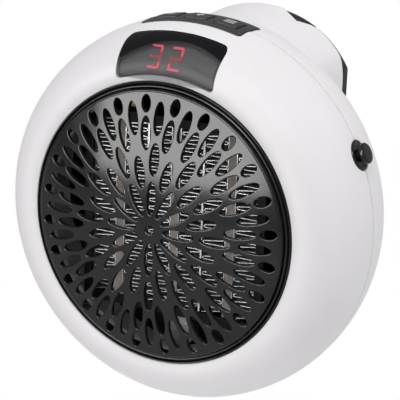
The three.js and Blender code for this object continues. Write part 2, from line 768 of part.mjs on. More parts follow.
// Pieces of the power switch are turned about their own axis, with heights counted from the body's axis
function switchPieces() {
  const flangeTop = bezelFloor + bezelThickness;
  const barrelEnd = bodyRadius - 2 * wall + gap;
  const bore = neckRadius + gap;
  const bezel = turned([
    [bore, barrelEnd], [bezelBarrel, barrelEnd], [bezelBarrel, bezelFloor], [bezelRadius, bezelFloor],
    [bezelRadius, flangeTop - bezelDish / 3], [bezelRadius - bezelDish, flangeTop],
    [capRadius, flangeTop - bezelDish], [bore, flangeTop - bezelDish],
  ]);
  const face = flangeTop + capReach;
  const bodyTop = barrelEnd - gap;
  const rim = capThickness / 5;
  const neckEnd = bodyTop + gap + switchTravel;
  const under = face - capThickness;
  const cap = turned([
    [0, neckEnd], [neckRadius, neckEnd], [neckRadius, under], [capRadius - rim, under],
    [capRadius, under + rim], [capRadius, face - rim], [capRadius - rim, face], [0, face],
  ]);
  const { wide, tall } = switchBodySize;
  piece('switch_bezel', atSwitch(bezel), glossBlack, heater);
  piece('power_button', atSwitch(cap), glossBlack, heater);
  piece('switch_body', atSwitch(block(wide, tall, wide, [0, bodyTop - tall / 2, 0])), darkPlastic, heater);
}

// Folded foil column: a zigzag between its two sides, with its folds in from them by the foil's own width
function foilOutline(width, tall) {
  const pitch = tall / foldCount;
  const inset = width * foilThickness / pitch;
  const left = [];
  const right = [];
  for (let k = 0; k <= 2 * foldCount; k += 1) {
    const side = k % 2 === 0 ? -1 : 1;
    const z = tall / 2 - k * pitch / 2;
    left.push([side * (width / 2 - (side < 0 ? inset : 0)), z]);
    right.push([side * (width / 2 - (side > 0 ? inset : 0)), z]);
  }
  return outline([...left, ...right.toReversed()]);
}

function heatingPieces() {
  const trio = ['fin', 'bar', 'fin'];
  const order = ['end', ...trio, 'plate', ...trio, 'plate', ...trio, 'end'];
  const fixed = 2 * endPlateWidth + 3 * barWidth + 2 * platWidth + (order.length - 1) * gap;
  const finWidth = (blockSide - fixed) / 6;
  const kinds = {
    end: { width: endPlateWidth, name: 'fin_end_plate', material: aluminium },
    fin: { width: finWidth, name: 'heater_fin', material: aluminium },
    bar: { width: barWidth, name: 'ptc_bar', material: tan },
    plate: { width: platWidth, name: 'fin_separator', material: aluminium },
  };
  const made = { end: 0, fin: 0, bar: 0, plate: 0 };
  const tall = blockSide - 2 * gap;
  let x = -blockSide / 2;
  for (const kind of order) {
    const { width, name, material } = kinds[kind];
    const shape = kind === 'fin' ? foilOutline(width, tall) : rectangle(width, tall);
    made[kind] += 1;
    const mesh = piece(`${name}_${made[kind]}`, plate(shape, 0, blockDeep), material, heater);
    mesh.position.set(x + width / 2, blockFront, 0);
    x += width + gap;
  }
  const opening = blockSide + 2 * gap;
  const flangeBack = flangeDepth + flangeThickness;
  const tunnel = cut(
    block(opening + 2 * frameWall, flangeBack - blockFront + frameLipDeep + gap, opening + 2 * frameWall,
      [0, (flangeBack + blockFront - frameLipDeep - gap) / 2, 0]),
    block(opening, 2 * blockSide, opening, [0, blockFront - gap + blockSide, 0]),
    block(opening - 2 * frameLip, blockSide, opening - 2 * frameLip, [0, blockFront, 0]),
  );
  const terminalPlace = barWidth + 2 * finWidth + platWidth + 4 * gap;
  const [slotWide, slotDeep] = [terminalSize.x + 2 * gap, terminalSize.y + 2 * gap];
  const slots = [-1, 1].map((side) => (
    block(slotWide, slotDeep, blockSide, [side * terminalPlace, terminalDepth, blockSide / 2])
  ));
  const hole = block(opening, blockSide, opening, [0, flangeDepth, 0]);
  piece('heater_frame', cut(join(tunnel, cut(flange(flangeDepth), hole)), ...slots), darkPlastic, heater);
  for (const [name, side] of [['heater_terminal_left', -1], ['heater_terminal_right', 1]]) {
    const { x, y, tall: reachUp } = terminalSize;
    const mesh = piece(name, block(x, y, reachUp, [0, 0, (blockSide + reachUp) / 2]), brass, heater);
    mesh.position.set(side * terminalPlace, terminalDepth, 0);
  }
  const cutout = disc(cutoutRadius, flangeDepth - gap - cutoutTall, flangeDepth - gap);
  piece('thermal_cutout', cutout, steel, heater).position.z = -cutoutDrop;
}

// Round flange with four ears, whose screws run into the front shell's bosses
function flange(depth) {
  const back = depth + flangeThickness;
  const ears = earClocks.map((clock) => post(earRadius, depth, back, clock, earPlace));
  const holes = earClocks.map((clock) => post(screwHole, depth - gap, back + gap, clock, earPlace));
  return cut(join(disc(flangeRadius, depth, back), ...ears), ...holes);
}

const shroudFront = flangeDepth + flangeThickness + gap;

function fanShroud() {
  const inner = fanRadius + tipClearance;
  const outer = inner + shroudWall;
  const back = shroudFront + shroudDeep;
  const spiderBack = spiderDepth + spiderThickness;
  const motorFront = spiderBack + gap;
  const spokes = steps(0, spokeCount - 1, spokeCount - 1).map((i) => {
    const clock = 2 * Math.PI * (i + 0.5) / spokeCount;
    const arm = block(spokeWidth, spiderThickness, inner - hubRadius + shroudWall / 2,
      [0, (spiderDepth + spiderBack) / 2, (inner + shroudWall / 2 + hubRadius) / 2]);
    return solid(geometryOf(arm).rotateY(clock));
  });
  const cup = tube(motorRadius + gap, motorRadius + gap + cupWall, spiderDepth, motorFront + cupDeep);
  const centre = tube(motorBoss.radius + gap, motorRadius + gap + cupWall, spiderDepth, spiderBack);
  return join(
    cut(flange(shroudFront), disc(inner, shroudFront - gap, back)),
    tube(inner, outer, shroudFront, back),
    ...spokes, centre, cup,
  );
}

// One blade: rectangles from the hub to the tip, each turned to its own pitch
function blade() {
  const middle = spiderDepth - tipClearance - hubDeep / 2;
  const stations = steps(0, 1, 3).map((flow) => {
    const radius = hubRadius - hubWall / 2 + (fanRadius - hubRadius + hubWall / 2) * flow;
    const chord = bladeChord.root + (bladeChord.tip - bladeChord.root) * flow;
    const pitch = bladePitch.root + (bladePitch.tip - bladePitch.root) * flow;
    return [[-1, -1], [1, -1], [1, 1], [-1, 1]].map(([u, v]) => {
      const along = u * chord / 2;
      const across = v * bladeThickness / 2;
      const turn = (along * Math.cos(pitch) - across * Math.sin(pitch)) / radius;
      const [x, z] = around(turn, radius);
      return [x, middle + along * Math.sin(pitch) + across * Math.cos(pitch), z];
    });
  });
  return geometryOf(skin(stations, false));
}

function fanPieces() {
  piece('fan_shroud', fanShroud(), mattBlack, heater);
  const hubBack = spiderDepth - tipClearance;
  const hubFront = hubBack - hubDeep;
  const bore = shaftRadius + gap / 3;
  const rimInside = hubRadius - hubWall;
  const floor = hubFront + 2 * hubWall;
  const hub = turned([
    [bore, hubFront], [rimInside, hubFront], [hubRadius, hubFront + hubWall], [hubRadius, hubBack],
    [rimInside, hubBack], [rimInside, floor], [2 * hubWall, floor], [2 * hubWall, hubBack], [bore, hubBack],
  ]);
  const shape = blade();
  const turns = steps(0, 2 * Math.PI, bladeCount).slice(1);
  const blades = turns.map((turn) => solid(shape.clone().rotateY(turn)));
  piece('fan_impeller', join(hub, ...blades), mattBlack, heater);
  const motorFront = spiderDepth + spiderThickness + gap;
  const motorBack = motorFront + motorDeep;
  const motor = turned([
    [shaftRadius + gap, motorFront - motorBoss.deep], [motorBoss.radius, motorFront - motorBoss.deep],
    [motorBoss.radius, motorFront], [motorRadius, motorFront], [motorRadius, motorBack - motorBoss.deep],
    [motorRadius - motorBoss.deep, motorBack], [shaftRadius + gap, motorBack],
  ]);
  piece('motor', motor, steel, heater);
  const shaftEnd = motorBack - motorBoss.deep;
  piece('motor_shaft', disc(shaftRadius, hubFront - gap, shaftEnd, fewFacets), steel, heater);
}

function boardPieces() {
  const { x: width, tall } = controlSize;
  const board = block(width, boardThickness, tall, [0, controlDepth + boardThickness / 2, plugRise]);
  piece('control_board', board, boardGreen, heater);
  const front = controlDepth - gap;
  const top = plugRise + tall / 2 - boardMargin;
  for (const [name, { x, y, z }, side, material] of [
    ['relay', relaySize, -1, mattBlack],
    ['power_module', moduleBoxSize, 1, blueBox],
  ]) {
    const place = [side * ((width - x) / 2 - boardMargin), front - y / 2, top - z / 2];
    piece(name, block(x, y, z, place), material, heater);
  }
  const { radius, deep } = capacitorSize;
  piece('capacitor', disc(radius, front - deep, front), darkPlastic, heater).position.z = top - 2 * radius;
}

// Plug pieces, about the plug's own axis
const plugFace = rimDepth + gap + dialThickness + baseHeight;
const insertInner = platePlane - baseInner;

// Round disc with two flat sides
function flattened(radius, flatAt, from, to) {
  return common(disc(radius, from, to, facets), block(2 * flatAt, 2 * to, 2 * radius));
}

function plugDial() {
  const front = rimDepth + gap;
  const bore = baseRadius + gap;
  const dial = flattened(dialRadius, dialFlat, front, front + dialThickness);
  const neck = disc(neckRadiusOuter, platePlane, front + gap);
  return cut(join(dial, neck), disc(bore, platePlane - overrun, plugFace));
}

function plugInsert() {
  const bore = disc(pinRadius + gap, insertInner - gap, plugFace + gap, fewFacets);
  const holes = [-1, 1].map((side) => bore.translate(side * pinSpacing / 2, 0, 0));
  return cut(disc(baseRadius, insertInner, plugFace), ...holes);
}

function plugPin() {
  const end = plugFace + pinReach;
  const root = plugFace - pinRoot;
  const tip = steps(0, Math.PI / 2, 2).map((angle) => [
    pinRadius * Math.cos(angle), end - pinRadius * (1 - Math.sin(angle)),
  ]);
  return turned([[0, root], [pinRadius, root], ...tip], fewFacets);
}

function slipRing(size, side) {
  const back = insertInner - gap;
  const front = back - slipThickness;
  const middle = (slipInner.to + slipOuter.from) / 2;
  const from = size === slipInner ? size.to - gap : middle - slipTab;
  const to = size === slipInner ? middle + slipTab : size.from + gap;
  const tab = block(to - from, slipThickness, slipTab, [side * (from + to) / 2, (front + back) / 2, 0]);
  return join(tube(size.from, size.to, front, back), tab);
}

// Contact leaf: foot on the board, riser, and an arm that reaches over to its slip ring
function contactLeaf(size, towards) {
  const ringFront = insertInner - gap - slipThickness;
  const foot = controlDepth + boardThickness + gap;
  const arm = ringFront - gap;
  const middle = (size.from + size.to) / 2;
  const rise = slipOuter.to + leafFoot;
  const tip = middle - leafWidth / 2;
  const [footBack, armFront, riseTop] = [foot + leafThickness, arm - leafThickness, rise + leafThickness];
  const shape = outline([
    [foot, rise + leafFoot], [foot, rise], [armFront, rise], [armFront, tip],
    [arm, tip], [arm, riseTop], [footBack, riseTop], [footBack, rise + leafFoot],
  ]);
  return solid(geometryOf(slice(shape, leafWidth)).rotateY(towards));
}

function plugPieces() {
  piece('plug_dial', plugDial(), mattBlack, plug);
  piece('plug_insert', plugInsert(), mattBlack, plug);
  for (const [name, side] of [['plug_pin_left', -1], ['plug_pin_right', 1]]) {
    piece(name, plugPin(), steel, plug).position.x = side * pinSpacing / 2;
  }
  piece('slip_ring_inner', slipRing(slipInner, -1), brass, plug);
  piece('slip_ring_outer', slipRing(slipOuter, 1), brass, plug);
  piece('contact_leaf_inner', contactLeaf(slipInner, 0), brass, plug);
  piece('contact_leaf_outer', contactLeaf(slipOuter, Math.PI), brass, plug);
  const keeperBack = platePlane - gap;
  const keeper = tube(baseRadius + gap, rimHole + keeperWidth, keeperBack - keeperThickness, keeperBack);
  piece('retaining_ring', keeper, darkPlastic, plug);
}

// Pan-head screw with its head's seat at a depth, pointing towards the room
function screw(seat, length) {
  return turned([
    [0, seat - length], [screwRadius / 2, seat - length], [screwRadius, seat - length + screwRadius],
    [screwRadius, seat], [screwHead.radius, seat], [screwHead.radius, seat + screwHead.deep / 2],
    [screwHead.radius / 2, seat + screwHead.deep], [0, seat + screwHead.deep],
  ], fewFacets);
}

function screwPieces() {
  const housingSeat = seamDepth + towerFloor + gap;
  const housingScrew = screw(housingSeat, screwLength);
  bossClocks.forEach((clock, i) => {
    piece(`housing_screw_${i + 1}`, screwAt(housingScrew, clock, bossPlace), steel, heater);
  });
  const frameSeat = shroudFront + flangeThickness + gap;
  const frameScrew = screw(frameSeat, flangeThickness + bossBore);
  earClocks.forEach((clock, i) => {
    piece(`frame_screw_${i + 1}`, screwAt(frameScrew, clock, earPlace), steel, heater);
  });
}

piece('front_shell', frontShell(), white, heater);
piece('rear_shell', rearShell(), white, heater);
piece('trim_ring', trimRing(), glossBlack, heater);
piece('front_grille', frontGrille(), glossBlack, heater);
displayPieces();
keyPieces();
switchPieces();
heatingPieces();
fanPieces();
boardPieces();
plugPieces();
screwPieces();

heater.position.set(0, -plugFace, -plugRise);
const fanHeater = new THREE.Group();
fanHeater.add(heater);

export default fanHeater;
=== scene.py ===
# Plug-in fan heater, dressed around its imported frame. +Z is up, the wall is Y = 0 and the room is at -Y.
import math
import bpy
from mathutils import Matrix, Vector
from mathutils.geometry import delaunay_2d_cdt
from mathutils.kdtree import KDTree


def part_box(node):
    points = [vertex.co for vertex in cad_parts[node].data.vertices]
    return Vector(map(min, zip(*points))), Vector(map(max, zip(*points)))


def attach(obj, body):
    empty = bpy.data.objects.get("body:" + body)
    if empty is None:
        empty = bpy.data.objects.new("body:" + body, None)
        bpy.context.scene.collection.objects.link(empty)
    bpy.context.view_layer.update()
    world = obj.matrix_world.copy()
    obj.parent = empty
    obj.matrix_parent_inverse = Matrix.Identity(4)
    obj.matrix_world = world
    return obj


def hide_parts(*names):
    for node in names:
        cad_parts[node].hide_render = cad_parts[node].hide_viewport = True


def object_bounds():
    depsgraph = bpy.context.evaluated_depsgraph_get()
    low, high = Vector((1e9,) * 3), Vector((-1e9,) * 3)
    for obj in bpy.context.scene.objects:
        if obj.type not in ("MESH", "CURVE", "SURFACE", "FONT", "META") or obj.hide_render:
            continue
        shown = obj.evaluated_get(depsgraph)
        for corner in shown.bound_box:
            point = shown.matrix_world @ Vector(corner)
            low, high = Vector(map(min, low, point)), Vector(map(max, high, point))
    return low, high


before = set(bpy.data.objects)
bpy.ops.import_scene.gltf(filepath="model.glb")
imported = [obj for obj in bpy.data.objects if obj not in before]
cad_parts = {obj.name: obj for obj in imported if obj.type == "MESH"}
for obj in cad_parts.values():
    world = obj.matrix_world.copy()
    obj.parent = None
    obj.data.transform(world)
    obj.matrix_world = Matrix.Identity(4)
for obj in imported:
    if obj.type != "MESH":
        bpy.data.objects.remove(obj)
cadLow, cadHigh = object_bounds()
print("frame loaded")


# Camera, at the photograph's viewing angle
cameraSet = {
    "place": (0.3020, -0.6442, 0.1650),
    "aim": (0.0169, -0.1000, -0.0190),
    "roll": 2.12,   # degrees
    "lens": 142.1,
}


def addCamera():
    data = bpy.data.cameras.new("camera")
    data.lens = cameraSet["lens"]
    camera = bpy.data.objects.new("camera", data)
    bpy.context.collection.objects.link(camera)
    place = Vector(cameraSet["place"])
    look = (Vector(cameraSet["aim"]) - place).to_track_quat("-Z", "Y").to_matrix().to_4x4()
    roll = Matrix.Rotation(math.radians(cameraSet["roll"]), 4, "Z")
    camera.matrix_world = Matrix.Translation(place) @ look @ roll
    bpy.context.scene.camera = camera


addCamera()


# The new pieces are modelled in millimetres in the heater's own frame: x to the right, y from the trim
# ring's front edge towards the wall, z up, and the body's axis through x = z = 0. settle() brings a
# finished piece to metres and to its place in the part.
millimetre = 0.001
weldGap = 0.001            # points closer than this are one
ringSeat = 3.9             # depth of the trim ring's back edge
ringLow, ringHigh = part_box("trim_ring")
heaterPlace = Vector((0, ringHigh.y - ringSeat * millimetre, (ringLow.z + ringHigh.z) / 2))

# Round body: its outline is two quarter ellipses on a crest circle, turned about the depth axis
body = {
    "radius": 82.5,
    "crest": 64.2,
    "frontCurve": 30.9,
    "rearCurve": 33.6,
    "rearDome": 2.4,
    "seam": 30.0,
    "wall": 2.4,
    "gap": 0.3,
    "overrun": 5.0,      # how far cutting tools reach past the surface
    "steps": 160,
}


# Selects one piece and nothing else
def pick(piece):
    bpy.ops.object.select_all(action="DESELECT")
    piece.select_set(True)
    bpy.context.view_layer.objects.active = piece


def pieceFrom(name, points, faces, edges=()):
    mesh = bpy.data.meshes.new(name)
    mesh.from_pydata(points, edges, faces)
    piece = bpy.data.objects.new(name, mesh)
    bpy.context.collection.objects.link(piece)
    pick(piece)
    return piece


# Opens the picked piece for editing with all of it selected, or nothing, and closes it again
def openMesh(action="SELECT"):
    bpy.ops.object.mode_set(mode="EDIT")
    bpy.ops.mesh.select_all(action=action)


def closeMesh():
    bpy.ops.object.mode_set(mode="OBJECT")


# Draws out what is selected of an open mesh
def pull(move):
    bpy.ops.mesh.extrude_region_move(TRANSFORM_OT_translate={"value": move})


# Merges doubled points and turns the faces outwards
def weld(piece):
    pick(piece)
    openMesh()
    bpy.ops.mesh.remove_doubles(threshold=weldGap)
    bpy.ops.mesh.normals_make_consistent(inside=False)
    closeMesh()
    return piece


def applyModifier(piece, kind, **settings):
    pick(piece)
    modifier = piece.modifiers.new(kind.lower(), kind)
    for name, value in settings.items():
        setattr(modifier, name, value)
    bpy.ops.object.modifier_apply(modifier=modifier.name)
    return piece


def joined(pieces):
    pick(pieces[0])
    if len(pieces) > 1:
        for piece in pieces:
            piece.select_set(True)
        bpy.ops.object.join()
    return pieces[0]


# Cuts away, adds or keeps what the tools cover, and removes them
def carve(piece, tools, operation="DIFFERENCE"):
    tool = joined(tools)
    applyModifier(piece, "BOOLEAN", operation=operation, object=tool, solver="EXACT")
    bpy.data.objects.remove(tool)
    return piece


def copyOf(piece, name):
    twin = piece.copy()
    twin.data = piece.data.copy()
    twin.name = name
    bpy.context.collection.objects.link(twin)
    return twin


# Moves or turns a piece's mesh and leaves its object at the origin
def shift(piece, matrix):
    piece.data.transform(matrix)
    return piece


# Brings a piece from millimetres in the heater's frame to metres in the part's
def settle(piece, smooth=35):
    pick(piece)
    piece.matrix_world = Matrix.Translation(heaterPlace) @ Matrix.Scale(millimetre, 4)
    bpy.ops.object.transform_apply(location=True, rotation=True, scale=True)
    bpy.ops.object.shade_smooth_by_angle(angle=math.radians(smooth))
    return piece


# Hangs a piece on its body, hides the nodes that it stands for and, where a finish is named, gives it that
# finish
def dress(piece, rides, nodes, look=None):
    if look:
        piece.data.materials.clear()
        piece.data.materials.append(finish[look])
    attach(piece, rides)
    if nodes:
        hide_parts(*nodes)
    return piece


# Outline with rounded corners: each corner is (x, y, radius of its rounding)
def rounded(corners, steps=5, closed=True):
    points = []
    count = len(corners)
    for i, (x, y, radius) in enumerate(corners):
        here = Vector((x, y))
        if radius == 0 or (not closed and i in (0, count - 1)):
            points.append((x, y))
            continue
        before = (Vector(corners[i - 1][:2]) - here).normalized()
        after = (Vector(corners[(i + 1) % count][:2]) - here).normalized()
        half = before.angle(after) / 2
        middle = here + (before + after).normalized() * radius / math.sin(half)
        start = here + before * radius / math.tan(half) - middle
        end = here + after * radius / math.tan(half) - middle
        first = math.atan2(start.y, start.x)
        turn = (math.atan2(end.y, end.x) - first + math.pi) % (2 * math.pi) - math.pi
        for k in range(steps + 1):
            angle = first + turn * k / steps
            points.append((middle.x + radius * math.cos(angle), middle.y + radius * math.sin(angle)))
    return points


# Turns an outline of (radius, depth) about the depth axis
def turned(name, outline, steps=96, closed=True):
    points = [(radius, depth, 0) for radius, depth in outline]
    count = len(points)
    edges = [(i, (i + 1) % count) for i in range(count if closed else count - 1)]
    piece = pieceFrom(name, points, [], edges)
    openMesh()
    bpy.ops.mesh.spin(steps=steps, angle=2 * math.pi, center=(0, 0, 0), axis=(0, 1, 0))
    closeMesh()
    return weld(piece)


def disc(name, radius, low, high, steps=48):
    return turned(name, [(0, low), (radius, low), (radius, high), (0, high)], steps, closed=False)


# Tool for a hole that widens in one step
def steppedHole(name, narrow, wide, low, floor, high):
    outline = [(0, low), (narrow, low), (narrow, floor), (wide, floor), (wide, high), (0, high)]
    return turned(name, outline, 48, closed=False)


# Draws an outline out along the depth ("front") or upwards ("top")
def drawnOut(name, outline, low, high, seenFrom="front"):
    if seenFrom == "front":
        points = [(x, low, z) for x, z in outline]
        move = (0, high - low, 0)
    else:
        points = [(x, y, low) for x, y in outline]
        move = (0, 0, high - low)
    piece = pieceFrom(name, points, [list(range(len(points)))])
    openMesh()
    pull(move)
    closeMesh()
    return weld(piece)


def box(name, low, high):
    size = Vector(high) - Vector(low)
    middle = (Vector(high) + Vector(low)) / 2
    bpy.ops.mesh.primitive_cube_add(size=1, location=middle)
    piece = bpy.context.object
    piece.name = name
    piece.scale = size
    bpy.ops.object.transform_apply(location=True, rotation=True, scale=True)
    return piece


# Skin through rings of equal length; a circle is drawn out once for each ring and its points are placed
def loft(name, rings):
    count = len(rings[0])
    bpy.ops.object.select_all(action="DESELECT")
    bpy.ops.mesh.primitive_circle_add(vertices=count, radius=10, fill_type="NOTHING")
    piece = bpy.context.object
    piece.name = name
    openMesh()
    for _ in rings[1:]:
        pull((0, 0, 1))
    closeMesh()
    for vertex in piece.data.vertices:
        x, y, z = vertex.co
        spot = round(math.atan2(y, x) / (2 * math.pi) * count) % count
        vertex.co = rings[round(z)][spot]
    return weld(piece)


# Place on a circle about the body's axis, clockwise from the top as seen from the room
def around(clock, radius):
    return radius * math.sin(clock), radius * math.cos(clock)


def span(low, high, count):
    return [low + (high - low) * i / count for i in range(count + 1)]


def circle(radius, count):
    return [around(clock, radius) for clock in span(0, 2 * math.pi, count)[:-1]]


# Point (radius, depth) of the body's outline at a profile angle, set in from its surface
def bodyPoint(angle, inset=0.0):
    bulge = body["radius"] - body["crest"]
    curve = body["frontCurve"] if angle < 0 else body["rearCurve"]
    across = math.cos(angle) / bulge
    along = math.sin(angle) / curve
    size = math.hypot(across, along)
    radius = body["crest"] + bulge * math.cos(angle) - inset * across / size
    depth = body["seam"] + curve * math.sin(angle) - inset * along / size
    return radius, depth


# Profile angle of the front half where the surface has a given radius
def angleAt(radius):
    bulge = body["radius"] - body["crest"]
    return math.acos((body["crest"] - radius) / bulge) - math.pi


# Place on the body's front for a front-view point, and on its rim for a top-view point
def onFront(x, z, inset):
    radius = math.hypot(x, z)
    setRadius, depth = bodyPoint(angleAt(radius), inset)
    return x * setRadius / radius, depth, z * setRadius / radius


def onRim(x, y, inset):
    curve = body["frontCurve"] if y < body["seam"] else body["rearCurve"]
    angle = math.asin((y - body["seam"]) / curve)
    radius, depth = bodyPoint(angle, inset)
    clock = math.asin(x / bodyPoint(angle)[0])
    return radius * math.sin(clock), depth, radius * math.cos(clock)


# Moves a closed loop outwards by a distance; the loop runs anticlockwise
def grown(loop, distance):
    count = len(loop)
    moved = []
    for i, (x, y) in enumerate(loop):
        along = Vector(loop[(i + 1) % count]) - Vector(loop[i - 1])
        along.normalize()
        moved.append((x + along.y * distance, y - along.x * distance))
    return moved


def anticlockwise(loop):
    area = sum(loop[i - 1][0] * y - x * loop[i - 1][1] for i, (x, y) in enumerate(loop))
    return loop if area > 0 else loop[::-1]


# Spreads points along a closed loop so that none are further apart than a step
def evened(loop, step):
    points = []
    for i, (x, y) in enumerate(loop):
        beforeX, beforeY = loop[i - 1]
        parts = max(1, math.ceil(math.hypot(x - beforeX, y - beforeY) / step))
        points += [
            (beforeX + (x - beforeX) * k / parts, beforeY + (y - beforeY) * k / parts)
            for k in range(1, parts + 1)
        ]
    return points


def isInside(x, y, loop):
    inside = False
    for i, (x1, y1) in enumerate(loop):
        x0, y0 = loop[i - 1]
        if (y0 > y) != (y1 > y) and x < (x1 - x0) * (y - y0) / (y1 - y0) + x0:
            inside = not inside
    return inside


# How formed plates are meshed
plating = {
    "roundRows": 4,      # rows of faces over a rounded edge
    "holdPart": 3,       # the band that keeps the face true up to the rounding is this part of it
    "clear": 0.6,        # least way from an edge to a point of the face, in steps
    "tolerance": 1e-5,
}


# Honeycomb of points on a face, clear of its edge and of its openings
def honeycomb(loops, step):
    count = sum(len(loop) for loop in loops)
    near = KDTree(count)
    for number, (x, y) in enumerate(point for loop in loops for point in loop):
        near.insert((x, y, 0), number)
    near.balance()
    openings = []
    for loop in loops[1:]:
        middle = sum((Vector(point) for point in loop), Vector((0, 0))) / len(loop)
        openings.append((loop, middle, max((Vector(point) - middle).length for point in loop)))
    lowX, highX = min(x for x, _ in loops[0]), max(x for x, _ in loops[0])
    lowY, highY = min(y for _, y in loops[0]), max(y for _, y in loops[0])
    rowHeight = step * math.sqrt(3) / 2
    points = []
    for row in range(int((highY - lowY) / rowHeight) + 1):
        y = lowY + row * rowHeight
        for column in range(int((highX - lowX) / step) + 2):
            x = lowX + (column + row % 2 / 2) * step
            if near.find((x, y, 0))[2] < step * plating["clear"] or not isInside(x, y, loops[0]):
                continue
            spot = Vector((x, y))
            close = [loop for loop, middle, reach in openings if (spot - middle).length < reach]
            if not any(isInside(x, y, loop) for loop in close):
                points.append((x, y))
    return points


# Triangles between an edge, its openings and the points of the face, which are counted on in that order
def faceTriangles(loops, filling):
    flat = [Vector(point) for loop in [*loops, filling] for point in loop]
    edges = []
    owner = []
    for number, loop in enumerate(loops):
        first = len(owner)
        edges += [(first + i, first + (i + 1) % len(loop)) for i in range(len(loop))]
        owner += [number] * len(loop)
    owner += [-1] * len(filling)
    cdt = delaunay_2d_cdt(flat, edges, [], 1, plating["tolerance"], True)
    origin = [spots[0] for spots in cdt[3]]
    triangles = [[origin[i] for i in face] for face in cdt[2]]
    # What joins points of one opening only lies in it and is left out
    return [
        face for face in triangles
        if owner[face[0]] < 1 or any(owner[i] != owner[face[0]] for i in face)
    ]


# Plate that follows a curved surface, with openings and rounded front edges. Its loops are in the
# surface's own two coordinates, and place(x, y, inset) gives a point under that surface.
def formedPlate(name, edge, holes, place, thickness, rounding, step):
    cuts = [(-rounding - rounding / plating["holdPart"], 0)]
    for turn in span(0, math.pi / 2, plating["roundRows"]):
        cuts.append((rounding * (math.sin(turn) - 1), rounding * (1 - math.cos(turn))))
    cuts.append((0, thickness))
    rings = []
    for loop, side in [(edge, 1), *[(hole, -1) for hole in holes]]:
        loop = anticlockwise(loop)
        rings.append([[(*point, inset) for point in grown(loop, side * off)] for off, inset in cuts])
    loops = [[point[:2] for point in loopRings[0]] for loopRings in rings]
    filling = honeycomb(loops, step)
    triangles = faceTriangles(loops, filling)

    # Points of the piece: every ring of every loop, then the face's own points in front and behind
    points = []
    front = []
    back = []
    walls = []
    for loopRings in rings:
        start, count = len(points), len(loopRings[0])
        points += [place(*point) for ring in loopRings for point in ring]
        front += range(start, start + count)
        back += range(len(points) - count, len(points))
        for low in range(start, len(points) - count, count):
            for i in range(count):
                j = (i + 1) % count
                walls.append([low + i, low + j, low + count + j, low + count + i])
    for side, inset in ((front, 0), (back, thickness)):
        side.extend(range(len(points), len(points) + len(filling)))
        points += [place(x, y, inset) for x, y in filling]
    faces = [[front[i] for i in face] for face in triangles]
    faces += [[back[i] for i in reversed(face)] for face in triangles]
    return weld(pieceFrom(name, points, faces + walls))


# Sets a socket to a number or colour, or links it to another socket
def feed(tree, value, socket):
    if isinstance(value, bpy.types.NodeSocket):
        tree.links.new(value, socket)
    else:
        socket.default_value = value


def objectPlace(tree):
    return tree.nodes.new("ShaderNodeTexCoord").outputs["Object"]


def addNoise(tree, place, scale, detail):
    noise = tree.nodes.new("ShaderNodeTexNoise")
    noise.inputs["Detail"].default_value = detail
    tree.links.new(place, noise.inputs["Vector"])
    feed(tree, scale, noise.inputs["Scale"])
    return noise.outputs["Fac"]


# Stretches a value from one range to another, 0..1 unless told
def addRange(tree, value, oldSpan, newSpan=(0.0, 1.0)):
    node = tree.nodes.new("ShaderNodeMapRange")
    node.inputs["From Min"].default_value, node.inputs["From Max"].default_value = oldSpan
    node.inputs["To Min"].default_value, node.inputs["To Max"].default_value = newSpan
    tree.links.new(value, node.inputs["Value"])
    return node.outputs["Result"]


def addMath(tree, operation, first, second):
    node = tree.nodes.new("ShaderNodeMath")
    node.operation = operation
    feed(tree, first, node.inputs[0])
    feed(tree, second, node.inputs[1])
    return node.outputs["Value"]


def addMix(tree, amount, first, second):
    mix = tree.nodes.new("ShaderNodeMix")
    mix.data_type = "RGBA"
    tree.links.new(amount, mix.inputs["Factor"])
    for socket, value in ((mix.inputs[6], first), (mix.inputs[7], second)):
        feed(tree, (*value, 1) if isinstance(value, tuple) else value, socket)
    return mix.outputs[2]


def addBump(tree, shader, height, distance):
    bump = tree.nodes.new("ShaderNodeBump")
    bump.inputs["Distance"].default_value = distance
    tree.links.new(height, bump.inputs["Height"])
    tree.links.new(bump.outputs["Normal"], shader.inputs["Normal"])


# Shader groups that several finishes share
effects = {
    "toneSpan": (0.35, 0.65),      # part of the slow noise that the tone runs over
    "stainScale": 60,
    "stainSpan": (0.35, 0.7),
    "speckScale": 420,
    "speckSpan": (0.45, 0.7),
    "upwardSpan": (0.2, 1.0),      # how far up a face looks to catch dust
    "dustRough": 0.5,              # roughness that full dust adds
}


def startGroup(name, inputs, outputs):
    group = bpy.data.node_groups.new(name, "ShaderNodeTree")
    for label, kind, value in [("Vector", "Vector", (0, 0, 0)), *inputs]:
        socket = group.interface.new_socket(label, in_out="INPUT", socket_type="NodeSocket" + kind)
        socket.default_value = value
    for label in outputs:
        group.interface.new_socket(label, in_out="OUTPUT", socket_type="NodeSocketFloat")
    come = group.nodes.new("NodeGroupInput").outputs
    return group, come, group.nodes.new("NodeGroupOutput").inputs


# Grain of moulded plastic: a fine height and a slow drift of tone
def mouldGrain():
    inputs = [("Grain", "Float", 1500), ("Drift", "Float", 25)]
    group, come, leave = startGroup("mouldGrain", inputs, ("Height", "Tone"))
    group.links.new(addNoise(group, come["Vector"], come["Grain"], 3), leave["Height"])
    slow = addNoise(group, come["Vector"], come["Drift"], 2)
    group.links.new(addRange(group, slow, effects["toneSpan"]), leave["Tone"])
    return group


# Dust that settles on what faces up, in loose patches
def settledDust():
    inputs = [("Facing", "Vector", (0, 0, 1)), ("Amount", "Float", 0.1)]
    group, come, leave = startGroup("settledDust", inputs, ("Mask",))
    split = group.nodes.new("ShaderNodeSeparateXYZ")
    group.links.new(come["Facing"], split.inputs["Vector"])
    specks = addNoise(group, come["Vector"], effects["speckScale"], 5)
    upward = addRange(group, split.outputs["Z"], effects["upwardSpan"])
    dust = addMath(group, "MULTIPLY", upward, addRange(group, specks, effects["speckSpan"]))
    group.links.new(addMath(group, "MULTIPLY", dust, come["Amount"]), leave["Mask"])
    return group


